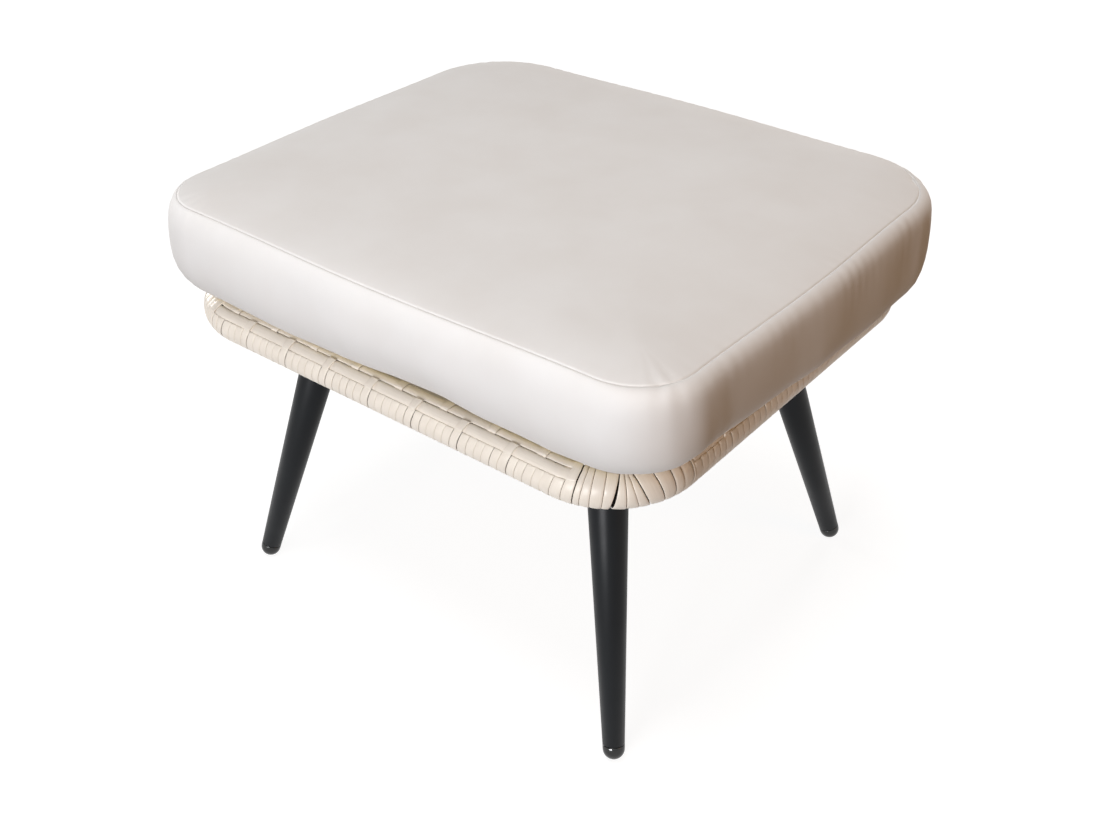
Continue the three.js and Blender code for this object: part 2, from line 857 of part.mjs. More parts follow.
// Zip, in a group on the flat of the back boxing: x along the chain, y out of the cushion
const zip = new THREE.Group();
zip.position.set(0, zipPlane + GAP, ZIP_CENTRE_HEIGHT);
cushion.add(zip);
const tapeLength = ZIP_LENGTH + TAPE_MORE;
for (const [name, sz] of [
  ["zip_tape_upper", 1],
  ["zip_tape_lower", -1],
]) {
  const tape = new THREE.BoxGeometry(tapeLength, TAPE_THICKNESS, TAPE_WIDTH);
  const mesh = piece(name, tape, LOOK.tape, zip);
  mesh.position.set(
    0,
    TAPE_THICKNESS / 2,
    sz * (CHAIN_WIDTH / 2 + GAP + TAPE_WIDTH / 2),
  );
}
const chainLength = ZIP_LENGTH - 2 * (STOP_LENGTH + GAP);
{
  const teeth = Math.round(chainLength / TOOTH_PITCH);
  const pitch = chainLength / teeth;
  const shape = new THREE.Shape();
  shape.moveTo(-chainLength / 2, 0);
  shape.lineTo(chainLength / 2, 0);
  for (let i = teeth; i > 0; i--) {
    const x = -chainLength / 2 + i * pitch;
    shape.lineTo(x, CHAIN_THICKNESS - TOOTH_DEPTH);
    shape.lineTo(x - pitch / 2, CHAIN_THICKNESS);
  }
  shape.lineTo(-chainLength / 2, CHAIN_THICKNESS - TOOTH_DEPTH);
  const chain = new THREE.ExtrudeGeometry(shape, {
    depth: CHAIN_WIDTH,
    bevelEnabled: false,
  });
  chain.translate(0, 0, -CHAIN_WIDTH / 2);
  piece("zip_chain", chain, LOOK.chain, zip);
}
for (const [name, sx] of [
  ["zip_stop_start", -1],
  ["zip_stop_end", 1],
]) {
  const stop = new THREE.BoxGeometry(
    STOP_LENGTH,
    CHAIN_THICKNESS + TAPE_THICKNESS,
    CHAIN_WIDTH,
  );
  const mesh = piece(name, stop, LOOK.zinc, zip);
  mesh.position.set(
    sx * (ZIP_LENGTH / 2 - STOP_LENGTH / 2),
    (CHAIN_THICKNESS + TAPE_THICKNESS) / 2,
    0,
  );
}

// Slider: a plate over the chain, a flange down each side of it, and two ears with a pin.
// The pull turns on the pin and lies along the chain.
const plateBottom = CHAIN_THICKNESS + GAP;
const plateTop = plateBottom + SLIDER_PLATE;
const sliderWidth = CHAIN_WIDTH + 2 * (GAP + SLIDER_FLANGE);
const earInside = PULL_WIDTH / 4 + GAP;
const pinY = plateTop + GAP + PULL_EYE_DIAMETER / 2;
const sliderRest =
  -ZIP_LENGTH / 2 + STOP_LENGTH + GAP + SLIDER_LENGTH / 2;
{
  const box = (x, y, z, cx, cy, cz) =>
    solid(new THREE.BoxGeometry(x, y, z)).translate([cx, cy, cz]);
  const flangeFoot = TAPE_THICKNESS + GAP;
  let slider = box(
    SLIDER_LENGTH,
    SLIDER_PLATE,
    sliderWidth,
    0,
    (plateBottom + plateTop) / 2,
    0,
  );
  for (const sz of [-1, 1]) {
    slider = slider.add(
      box(
        SLIDER_LENGTH,
        plateTop - flangeFoot,
        SLIDER_FLANGE,
        0,
        (plateTop + flangeFoot) / 2,
        (sz * (sliderWidth - SLIDER_FLANGE)) / 2,
      ),
    );
    slider = slider.add(
      box(
        EAR_LENGTH,
        pinY + PIN_DIAMETER - plateBottom,
        EAR_WIDTH,
        0,
        (pinY + PIN_DIAMETER + plateBottom) / 2,
        sz * (earInside + EAR_WIDTH / 2),
      ),
    );
  }
  const pin = new THREE.CylinderGeometry(
    PIN_DIAMETER / 2,
    PIN_DIAMETER / 2,
    2 * earInside + EAR_WIDTH,
    PIN_SIDES,
  );
  pin.rotateX(Math.PI / 2);
  pin.translate(0, pinY, 0);
  const mesh = piece(
    "zip_slider",
    geometryOf(slider.add(solid(pin))),
    LOOK.zinc,
    zip,
  );
  mesh.position.x = sliderRest;
}
{
  const shape = new THREE.Shape();
  const eye = PULL_WIDTH / 4;
  const near = PULL_EYE_DIAMETER / 2;
  const wide = PULL_WIDTH / 2;
  shape.moveTo(0, -eye);
  shape.lineTo(EAR_LENGTH, -eye);
  shape.lineTo(EAR_LENGTH + near, -wide);
  shape.lineTo(PULL_LENGTH - near, -wide);
  shape.absarc(PULL_LENGTH - wide, 0, wide, -Math.PI / 3, Math.PI / 3, false);
  shape.lineTo(PULL_LENGTH - near, wide);
  shape.lineTo(EAR_LENGTH + near, wide);
  shape.lineTo(EAR_LENGTH, eye);
  shape.lineTo(0, eye);
  const slot = new THREE.Path();
  slot.absarc(
    PULL_LENGTH - wide,
    0,
    PULL_SLOT_DIAMETER / 2,
    0,
    Math.PI * 2,
    true,
  );
  shape.holes.push(slot);
  const flat = new THREE.ExtrudeGeometry(shape, {
    depth: PULL_THICKNESS,
    bevelEnabled: false,
    curveSegments: PIN_SIDES,
  });
  flat.translate(0, 0, -PULL_THICKNESS / 2);
  const barrel = new THREE.CylinderGeometry(near, near, 2 * eye, SMALL_SIDES);
  const bore = new THREE.CylinderGeometry(
    PIN_DIAMETER / 2 + PIN_GAP,
    PIN_DIAMETER / 2 + PIN_GAP,
    PULL_WIDTH,
    SMALL_SIDES,
  );
  const pull = solid(flat).add(solid(barrel)).subtract(solid(bore));
  const mesh = piece("zip_pull", geometryOf(pull), LOOK.zinc, zip);
  mesh.rotation.x = Math.PI / 2;
  mesh.position.set(sliderRest, pinY, 0);
}

export default group;
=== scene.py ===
import math
import random

import bpy
import numpy as np
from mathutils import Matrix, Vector, noise
from mathutils.kdtree import KDTree


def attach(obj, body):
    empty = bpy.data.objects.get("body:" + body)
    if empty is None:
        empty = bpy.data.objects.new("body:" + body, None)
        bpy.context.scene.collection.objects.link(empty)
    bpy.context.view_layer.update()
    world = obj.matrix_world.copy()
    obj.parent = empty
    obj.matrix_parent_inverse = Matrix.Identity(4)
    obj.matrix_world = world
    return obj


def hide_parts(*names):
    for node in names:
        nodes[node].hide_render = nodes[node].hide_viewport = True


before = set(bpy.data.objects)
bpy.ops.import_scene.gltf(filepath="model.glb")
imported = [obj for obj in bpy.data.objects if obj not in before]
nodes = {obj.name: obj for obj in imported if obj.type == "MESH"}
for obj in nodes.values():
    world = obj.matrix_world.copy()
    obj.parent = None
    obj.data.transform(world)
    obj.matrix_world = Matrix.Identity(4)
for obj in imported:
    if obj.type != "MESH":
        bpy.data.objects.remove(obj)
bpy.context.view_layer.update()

mm = 0.001

# Camera: a short telephoto a little over a metre away, looking down on the front right corner.
# The picture is 1100 by 824 pixels.
PICTURE_WIDTH = 1100
PICTURE_HEIGHT = 824
FOCAL_PIXELS = 1356.36
VIEW_AZIMUTH = math.radians(38.91)
VIEW_ELEVATION = math.radians(33.42)
VIEW_ROLL = math.radians(-0.56)
VIEW_DISTANCE = 1.27588
VIEW_TARGET = Vector((0, 0, 0.186))
AXIS_PIXEL = (550.34, 390.69)

to_camera = Vector(
    (
        math.sin(VIEW_AZIMUTH) * math.cos(VIEW_ELEVATION),
        -math.cos(VIEW_AZIMUTH) * math.cos(VIEW_ELEVATION),
        math.sin(VIEW_ELEVATION),
    )
)
lens = bpy.data.cameras.new("camera")
lens.sensor_width = 36
lens.lens = lens.sensor_width * FOCAL_PIXELS / PICTURE_WIDTH
lens.shift_x = (PICTURE_WIDTH / 2 - AXIS_PIXEL[0]) / PICTURE_WIDTH
lens.shift_y = (AXIS_PIXEL[1] - PICTURE_HEIGHT / 2) / PICTURE_WIDTH
lens.clip_start = 0.01
camera = bpy.data.objects.new("camera", lens)
camera.rotation_euler = to_camera.to_track_quat("Z", "Y").to_matrix().to_euler()
camera.rotation_euler.rotate_axis("Z", VIEW_ROLL)
camera.location = VIEW_TARGET + to_camera * VIEW_DISTANCE
bpy.context.scene.collection.objects.link(camera)
bpy.context.scene.camera = camera
bpy.context.scene.view_settings.view_transform = "Standard"


# Light: a broad soft lamp overhead, two low ones at the front that light the front side and the
# near corner evenly, a warm one on the right, and two that light the sides turned away. The
# surroundings are white where they are seen, and give almost no light.
def linear(colour):
    """An sRGB hex colour as linear RGBA."""
    channels = [int(colour[i : i + 2], 16) / 255 for i in (1, 3, 5)]
    lit = [c / 12.92 if c <= 0.04045 else ((c + 0.055) / 1.055) ** 2.4 for c in channels]
    return (*lit, 1.0)


def add(tree, kind, inputs={}, stops=(), **settings):
    """Adds a shader node with its settings, and sets or links its inputs. An input takes a
    value, a socket, or a node for its first output. A colour ramp takes two stops, each a
    place from 0 to 1 with a hex colour or a grey."""
    made = tree.nodes.new("ShaderNode" + kind)
    for name, value in settings.items():
        setattr(made, name, value)
    for name, value in inputs.items():
        if isinstance(value, bpy.types.Node):
            value = value.outputs[0]
        if isinstance(value, bpy.types.NodeSocket):
            tree.links.new(value, made.inputs[name])
        else:
            made.inputs[name].default_value = value
    for point, (place, shade) in zip(made.color_ramp.elements if stops else (), stops):
        point.position = place
        point.color = linear(shade) if isinstance(shade, str) else (shade,) * 3 + (1,)
    return made


def lamp(name, place, aim, size, power, colour):
    """A round soft lamp, that many metres wide, turned to its aim."""
    light = bpy.data.lights.new(name, "AREA")
    light.shape = "DISK"
    light.size = size
    light.energy = power
    light.color = linear(colour)[:3]
    made = bpy.data.objects.new(name, light)
    made.location = place
    turned_away = Vector(place) - Vector(aim)
    made.rotation_euler = turned_away.to_track_quat("Z", "Y").to_euler()
    bpy.context.scene.collection.objects.link(made)


def seen(tree):
    """1 for the rays that see the background, from the camera, metal and glass, and else 0."""
    rays = add(tree, "LightPath").outputs
    either = rays["Is Camera Ray"]
    for kind in ("Is Transmission Ray", "Is Glossy Ray"):
        either = add(tree, "Math", {0: either, 1: rays[kind]}, operation="MAXIMUM").outputs[0]
    return either


SEAT = (0, 0, 0.35)
lamp("overhead_lamp", (-0.05, -0.4, 2.4), SEAT, 1.4, 34.5, "#fefdfd")
lamp("front_lamp", (0.1, -3.0, 0.4), SEAT, 0.7, 31.5, "#fdfdff")
lamp("near_corner_lamp", (0.75, -2.8, 0.4), SEAT, 0.6, 32, "#fbfbff")
lamp("right_lamp", (2.2, 0.4, 1.15), SEAT, 1.3, 7.3, "#ffb342")
lamp("back_lamp", (-0.3, 3.0, 0.5), SEAT, 1.0, 26, "#fffdfa")
lamp("left_lamp", (-2.9, 0.3, 0.5), SEAT, 1.0, 24, "#fffdfa")

world = bpy.data.worlds.new("studio")
bpy.context.scene.world = world
world.use_nodes = True
tree = world.node_tree
tree.nodes.clear()
white = add(tree, "Background", {"Color": (1, 1, 1, 1), "Strength": 1.0})
dim = add(tree, "Background", {"Color": linear("#e4e0dc"), "Strength": 0.012})
sky = add(tree, "MixShader", {0: seen(tree), 1: dim, 2: white})
add(tree, "OutputWorld", {"Surface": sky})


# Floor: white where the camera sees it, with the footstool's shadow kept, and a brown board for
# the light that it throws back. Past the lamps' reach it goes over into the white round it.
def finish(name):
    """A new material, its empty tree, and the object's own coordinates in metres."""
    made = bpy.data.materials.new(name)
    made.use_nodes = True
    made.node_tree.nodes.clear()
    own = add(made.node_tree, "TexCoord").outputs["Object"]
    return made, made.node_tree, own


FLOOR_HALF = 7
FLOOR_DROP = 0.4 * mm
GLOW_NEAR = 1.2
GLOW_FAR = 2.6
# Front left, front right, back right and back left, as signs of x and y
QUADRANTS = ((-1, -1), (1, -1), (1, 1), (-1, 1))
floor_mesh = bpy.data.meshes.new("floor")
floor_points = [(x * FLOOR_HALF, y * FLOOR_HALF, -FLOOR_DROP) for x, y in QUADRANTS]
floor_mesh.from_pydata(floor_points, [], [(0, 1, 2, 3)])
floor = bpy.data.objects.new("floor", floor_mesh)
bpy.context.scene.collection.objects.link(floor)
white_floor, tree, own = finish("white_floor")
floor_mesh.materials.append(white_floor)
paper = add(tree, "BsdfDiffuse", {"Color": (0.3, 0.3, 0.3, 1)})
reach = add(tree, "VectorMath", {0: own}, operation="LENGTH").outputs["Value"]
strength = add(
    tree,
    "MapRange",
    {"Value": reach, "From Min": GLOW_NEAR, "From Max": GLOW_FAR, "To Min": 0.9, "To Max": 1.0},
)
glow = add(tree, "Emission", {"Color": (1, 1, 1, 1), "Strength": strength})
shown = add(tree, "AddShader", {0: paper, 1: glow})
board = add(tree, "BsdfDiffuse", {"Color": linear("#564b3e")})
ground = add(tree, "MixShader", {0: seen(tree), 1: board, 2: shown})
add(tree, "OutputMaterial", {"Surface": ground})


# Steel under the deck: the bent rail, two cross bars and four leg brackets, welded mild steel
# tube and plate in one black powder coat. The rail is hidden in the strands but for its inside.
def surface(tree, **inputs):
    """The shader that ends a material; in an input's name an underscore is a space."""
    inputs = {name.replace("_", " "): value for name, value in inputs.items()}
    add(tree, "OutputMaterial", {"Surface": add(tree, "BsdfPrincipled", inputs)})


def powder_coat(name, colour, worn, rough, gloss):
    """Polyester powder baked on steel: a fine orange peel and an even low sheen, with the
    coat a touch paler and smoother where hands and packing have rubbed it."""
    made, tree, own = finish(name)
    peel = add(tree, "TexNoise", {"Vector": own, "Scale": 1 / (1.1 * mm), "Detail": 2.0})
    rubbed = add(tree, "TexNoise", {"Vector": own, "Scale": 1 / (45 * mm), "Detail": 4.0})
    surface(
        tree,
        Base_Color=add(tree, "ValToRGB", {0: rubbed}, ((0.35, colour), (0.75, worn))),
        Roughness=add(tree, "ValToRGB", {0: rubbed}, ((0.3, rough), (0.8, rough - 0.1))),
        Specular_IOR_Level=gloss,
        Normal=add(tree, "Bump", {"Height": peel, "Strength": 0.22, "Distance": 0.12 * mm}),
    )
    return made


frame_coat = powder_coat("black_powder_coated_steel", "#25201c", "#2e2823", 0.5, 0.25)


def recoat(node, material):
    """Gives a piece of the solids a material, and leaves its shape as it is."""
    data = nodes[node].data
    data.materials.clear()
    data.materials.append(material)


CORNERS = ("front_left", "front_right", "back_right", "back_left")
SIDES = ("front", "right", "back", "left")
for node in ("rail_tube", "cross_bar_left", "cross_bar_right"):
    recoat(node, frame_coat)
for corner in CORNERS:
    recoat(f"leg_bracket_{corner}", frame_coat)


# Fixings: four threaded studs and eight bracket screws, bright zinc plate on steel, and four
# moulded nylon inserts in the tops of the legs. The zinc has a cloudy bloom, smooth and dull by
# turns, and the nylon a fine grain from its mould.
zinc_plate, tree, own = finish("bright_zinc_plated_steel")
bloom = add(tree, "TexNoise", {"Vector": own, "Scale": 1 / (2.5 * mm), "Detail": 5.0})
surface(
    tree,
    Base_Color=add(tree, "ValToRGB", {0: bloom}, ((0.3, "#b4b7b9"), (0.7, "#cfcfc8"))),
    Metallic=1.0,
    Roughness=add(tree, "ValToRGB", {0: bloom}, ((0.25, 0.26), (0.75, 0.44))),
)
black_nylon, tree, own = finish("moulded_black_nylon")
grain = add(tree, "TexNoise", {"Vector": own, "Scale": 1 / (0.8 * mm), "Detail": 2.0})
surface(
    tree,
    Base_Color=add(tree, "ValToRGB", {0: grain}, ((0.3, "#0c0d0e"), (0.7, "#131416"))),
    Roughness=0.38,
    IOR=1.53,
    Normal=add(tree, "Bump", {"Height": grain, "Strength": 0.15, "Distance": 0.05 * mm}),
)
for corner in CORNERS:
    recoat(f"leg_stud_{corner}", zinc_plate)
    recoat(f"leg_insert_{corner}", black_nylon)
    for which in "ab":
        recoat(f"bracket_screw_{corner}_{which}", zinc_plate)

# Strand: extruded polyethylene, flat and 8 mm wide, coloured through in cream. The extruder
# leaves fine lines along it and a soft gloss, and each length is a slightly other shade.
PALE_CREAM = "#f7eee1"
DEEP_CREAM = "#ece2d4"
cream_strand, tree, own = finish("extruded_polyethylene_strand")
unrolled = add(tree, "UVMap", uv_map="unrolled")
tint = add(tree, "Attribute", attribute_name="tint")
stretched = add(
    tree, "Mapping", {"Vector": unrolled, "Scale": (1 / (30 * mm), 1 / (0.55 * mm), 1)}
)
fine = add(tree, "TexNoise", {"Vector": stretched, "Scale": 1.0, "Detail": 3.0, "Roughness": 0.6})
cloud = add(tree, "TexNoise", {"Vector": own, "Scale": 1 / (14 * mm), "Detail": 3.0})
shade = add(
    tree,
    "Mix",
    {
        0: tint.outputs["Fac"],
        6: add(tree, "ValToRGB", {0: fine}, ((0.25, DEEP_CREAM), (0.6, PALE_CREAM))),
        7: add(tree, "ValToRGB", {0: cloud}, ((0.3, DEEP_CREAM), (0.7, PALE_CREAM))),
    },
    data_type="RGBA",
)
surface(
    tree,
    Base_Color=shade.outputs[2],
    Roughness=add(tree, "ValToRGB", {0: cloud}, ((0.3, 0.32), (0.7, 0.44))),
    IOR=1.5,
    Normal=add(tree, "Bump", {"Height": fine, "Strength": 0.22, "Distance": 0.1 * mm}),
)


def shape(name, points, faces, material, body, replaced, uv=None, tint=None):
    """A smooth mesh piece that rides on a body and stands for nodes of the solids. uv has a
    place on the unrolled strand or cloth for each corner of a face, and tint a value for each
    point."""
    data = bpy.data.meshes.new(name)
    data.from_pydata([tuple(p) for p in points], [], [tuple(f) for f in faces])
    data.materials.append(material)
    data.shade_smooth()
    if uv is not None:
        layer = data.uv_layers.new(name="unrolled")
        layer.data.foreach_set("uv", np.asarray(uv, np.float32).ravel())
    if tint is not None:
        layer = data.attributes.new("tint", "FLOAT", "POINT")
        layer.data.foreach_set("value", np.asarray(tint, np.float32))
    made = bpy.data.objects.new(name, data)
    bpy.context.scene.collection.objects.link(made)
    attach(made, body)
    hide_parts(*replaced)
    return made


STRAND_PITCH = 8 * mm
STRAND_THICKNESS = 1.3 * mm
# The strand's section: across it from edge to edge, and up from its back, as shares
SECTION = np.array(
    [
        (-0.5, 0.45), (-0.487, 0.76), (-0.445, 0.9), (-0.22, 0.99), (0.0, 1.02), (0.22, 0.99),
        (0.445, 0.9), (0.487, 0.76), (0.5, 0.45), (0.47, 0.08), (0.2, 0.0), (-0.2, 0.0),
        (-0.47, 0.08),
    ]
)


class Lengths:
    """Strands gathered into one mesh: points, faces, a place on the strand for each corner of
    a face, and a tint for each point."""

    def __init__(self):
        self.points, self.faces, self.uv, self.tint = [], [], [], []

    def strand(self, rows, along, width, tint):
        """rows is a list of lists of points, one list for each step along the strand."""
        base = len(self.points)
        n = len(rows[0])
        for row in rows:
            self.points.extend(row)
        self.tint.extend([tint] * (n * len(rows)))
        across = SECTION[:, 0] * width
        for i in range(len(rows) - 1):
            for k in range(n):
                k1 = (k + 1) % n
                corners = ((i, k), (i, k1), (i + 1, k1), (i + 1, k))
                self.faces.append([base + row * n + c for row, c in corners])
                self.uv.extend((along[row], across[c]) for row, c in corners)
        for first, order in ((base, -1), (base + (len(rows) - 1) * n, 1)):
            self.faces.append(tuple(first + k for k in range(n))[::order])
            self.uv.extend([(along[0], across[k]) for k in range(n)][::order])

    def shape(self, name, replaced):
        """Makes them a piece of cream strand on the frame that stands for a node."""
        shape(
            name, self.points, self.faces, cream_strand, "frame", [replaced],
            self.uv, self.tint,
        )


RIM_HALF_X = 238 * mm
RIM_HALF_Y = 208 * mm
RIM_HEIGHT = 292 * mm
RIM_BEND = 62 * mm
ROLL_RADIUS = 17 * mm
END_GAP = 0.175 * mm
STRANDS_PER_BLOCK = 6
# Angles round the roll: 0 is its outer side, 90 its top. The two rows of runners, and where a
# strand begins and ends
RUNNER_ANGLES = ((36.5, 67.2), (70.2, 104.0))
STRAND_START = -118
STRAND_END = 104
# Radii of a strand's back where it goes under a runner, over one, and where there is none
UNDER_RADIUS = 14.35 * mm
OVER_RADIUS = 16.75 * mm
OUT_RADIUS = 15.7 * mm
# Just below the runners the strands bulge a little before they duck under
DUCK_ANGLES = (35.4, 37.6)
BULGE = 0.3 * mm
BULGE_ANGLE = 29
BULGE_SPAN = 6
# The corners before and after each side
ENDS = {side: (CORNERS[i], CORNERS[(i + 1) % 4]) for i, side in enumerate(SIDES)}


def ease(x):
    """0 up to 0, 1 from 1 on, and a smooth rise between."""
    x = min(max(x, 0.0), 1.0)
    return x * x * (3 - 2 * x)


def bend(corner):
    """(length, a function from s and outward distance and height to a point) for a corner. s
    runs from 0, the way of front, right, back and left."""
    quarters = {"back_right": 0, "back_left": 1, "front_left": 2, "front_right": 3}
    quarter = quarters[corner]
    sx = 1 if quarter in (0, 3) else -1
    sy = 1 if quarter < 2 else -1
    length = RIM_BEND * math.pi / 2

    def at(s, out, up):
        a = math.pi / 2 * (quarter + s / length)
        reach = RIM_BEND + out
        return (
            sx * (RIM_HALF_X - RIM_BEND) + reach * math.cos(a),
            sy * (RIM_HALF_Y - RIM_BEND) + reach * math.sin(a),
            RIM_HEIGHT + up,
        )

    return length, at


def straight(side):
    """The same for a side: (half length, function). s is 0 at its middle, and beyond its ends
    it goes on round the corners."""
    nx, ny = {"front": (0, -1), "right": (1, 0), "back": (0, 1), "left": (-1, 0)}[side]
    half = (RIM_HALF_X if ny else RIM_HALF_Y) - RIM_BEND
    before, after = ENDS[side]
    length, into_before = bend(before)
    into_after = bend(after)[1]

    def at(s, out, up):
        if s < -half:
            return into_before(length + s + half, out, up)
        if s > half:
            return into_after(s - half, out, up)
        x = nx * RIM_HALF_X - ny * s + nx * out
        y = ny * RIM_HALF_Y + nx * s + ny * out
        return (x, y, RIM_HEIGHT + up)

    return half, at


# A strand doesn't go square round the roll: between these angles its lower end drifts along
# the side, by so much on each side
TOP_ANGLE = 67
LOW_ANGLE = -40
DRIFT = {"front": -8.5 * mm, "right": -1.0 * mm, "back": -8.5 * mm, "left": -1.0 * mm}


def wind(gathered, at, edges, base_radius, tilt, angles, tint, start):
    """One strand round the roll. edges gives the places of its two edges at an angle, and
    base_radius its back's radius there; tilt lifts one edge over the next strand."""
    rows, along = [], []
    travelled = start
    previous = None
    for angle in angles:
        a = math.radians(angle)
        radius = base_radius(angle)
        first, second = edges(angle)
        row = []
        for across, up in SECTION:
            r = radius + up * STRAND_THICKNESS + tilt * across
            s = first + (across + 0.5) * (second - first)
            row.append(at(s, r * math.cos(a), r * math.sin(a)))
        rows.append(row)
        if previous is not None:
            travelled += abs(a - previous) * ROLL_RADIUS
        previous = a
        along.append(travelled)
    gathered.strand(rows, along, STRAND_PITCH, tint)


def crossing(index, count, row):
    """Whether the strand passes over the runner of that row, instead of under it."""
    shifted = index + 1 - count // 2 - row * STRANDS_PER_BLOCK // 2
    return shifted % STRANDS_PER_BLOCK == 0


def lay_radius(over):
    """The radius of the strand's back against the angle, as it goes under or over the
    runners. None is where there is no runner."""
    lower_end, upper_start = RUNNER_ANGLES[0][1], RUNNER_ANGLES[1][0]
    level = {True: OVER_RADIUS, False: UNDER_RADIUS, None: OUT_RADIUS}

    def radius(angle):
        bulge = BULGE * math.exp(-(((angle - BULGE_ANGLE) / BULGE_SPAN) ** 2))
        if angle < lower_end:
            t = ease((angle - DUCK_ANGLES[0]) / (DUCK_ANGLES[1] - DUCK_ANGLES[0]))
            out = OUT_RADIUS + (bulge if over[0] is False else 0.0)
            return out + (level[over[0]] - out) * t
        t = ease((angle - lower_end) / (upper_start - lower_end))
        return level[over[0]] + (level[over[1]] - level[over[0]]) * t

    return radius


def lower_share(angle):
    """How far down its drift a strand is at an angle."""
    return max(0.0, (TOP_ANGLE - angle) / (TOP_ANGLE - LOW_ANGLE))


# Angles at which a strand has points, closer where it ducks under a runner or crosses one
steps = [
    *np.linspace(STRAND_START, 20, 15), 24, 27, 30, 33, 35.4, 36.5, 37.6, 42, 50, 58, 64,
    67.2, 68, 69, 70.2, 76, 84, 92, 99, STRAND_END,
]
# The runners of the front and back end a little way round the corners, behind the strand there
# that passes over them
RUNNER_OVERRUN = {"front": 19 * mm, "right": 0.0, "back": 19 * mm, "left": 0.0}
RUNNER_DIP = 0.55 * mm
RUNNER_BOW = 0.25 * mm
CROSSING_GAP = 0.55 * mm
TIGHT_GAP = 0.02 * mm
for number, side in enumerate(SIDES):
    rng = random.Random(20 + number)
    half, at = straight(side)
    start = END_GAP - half
    length = 2 * half - 2 * END_GAP
    count = round(length / STRAND_PITCH)
    pitch = length / count
    laid = Lengths()
    drift = [DRIFT[side] + rng.uniform(-0.7, 0.7) * mm for i in range(count + 1)]
    gaps = [rng.choice((0.05, 0.1, 0.16, 0.22, 0.32)) * mm for i in range(count + 1)]
    for i in range(count + 1):
        if i and crossing(i - 1, count, 0):
            gaps[i] = CROSSING_GAP
    if side == "front":
        gaps[:4] = [TIGHT_GAP] * 4
    for i in range(count):
        over = (crossing(i, count, 0), crossing(i, count, 1))

        def edges(angle, i=i):
            low = lower_share(angle)
            return (
                start + i * pitch + drift[i] * low + gaps[i] / 2,
                start + (i + 1) * pitch + drift[i + 1] * low - gaps[i + 1] / 2,
            )

        wind(
            laid, at, edges, lay_radius(over), rng.uniform(-0.05, 0.22) * mm, steps,
            rng.random(), rng.uniform(0, 0.5),
        )
    laid.shape(f"strands_{side}", f"wrap_{side}")
    for row, level in enumerate(("lower", "upper")):
        laid = Lengths()
        low, high = RUNNER_ANGLES[row]
        middle = math.radians((low + high) / 2)
        width = math.radians(high - low) * ROLL_RADIUS
        rows, along = [], []
        s = start - RUNNER_OVERRUN[side]
        end = start + length + RUNNER_OVERRUN[side]
        while s < end + 1e-9:
            turn = (s - start) / pitch
            dip = 0.0
            for i in range(-3, count + 3):
                if crossing(i, count, row):
                    away = abs(turn - (i + 0.5)) - 0.5
                    dip = max(dip, 1 - ease((away + 0.06) / 0.22))
            radius = OUT_RADIUS - RUNNER_DIP * dip
            bow = RUNNER_BOW * (1 - dip)
            ring = []
            for across, up in SECTION:
                a = middle - across * width / ROLL_RADIUS
                r = radius + up * STRAND_THICKNESS + bow * (1 - 4 * across * across)
                ring.append(at(s, r * math.cos(a), r * math.sin(a)))
            rows.append(ring)
            along.append(s)
            s += length / (count * 6)
        laid.strand(rows, along, width, rng.random())
        laid.shape(f"runner_strand_{level}_{side}", f"runner_{level}_{side}")

# Corners: the same strand wound in a fan. It can't fill the outside of the bend, so here and
# there a dark wedge opens between two turns. Each line between two turns has its place round
# the bend at the top and low down, as shares, and the gap there in millimetres.
CORNER_STRANDS = 13
corner_steps = [*np.linspace(STRAND_START, 20, 18), *steps[15:]]
NEAR_CORNER_LINES = (
    (0.0, -0.087, 0.15, 0.15), (0.07, 0.0, 0.1, 0.1), (0.14, 0.085, 0.1, 0.1),
    (0.21, 0.165, 0.55, 0.5), (0.25, 0.21, 0.1, 0.15), (0.3, 0.275, 0.1, 0.15),
    (0.38, 0.35, 0.15, 0.2), (0.465, 0.41, 0.5, 2.6), (0.495, 0.505, 0.2, 0.3),
    (0.52, 0.585, 0.1, 0.15), (0.552, 0.66, 0.7, 0.6), (0.68, 0.76, 0.6, 0.5),
    (0.8, 0.83, 0.5, 0.4), (0.88, 0.89, 0.2, 0.15), (0.98, 0.965, 0.5, 0.4),
    (1.0, 0.99, 0.1, 0.1),
)
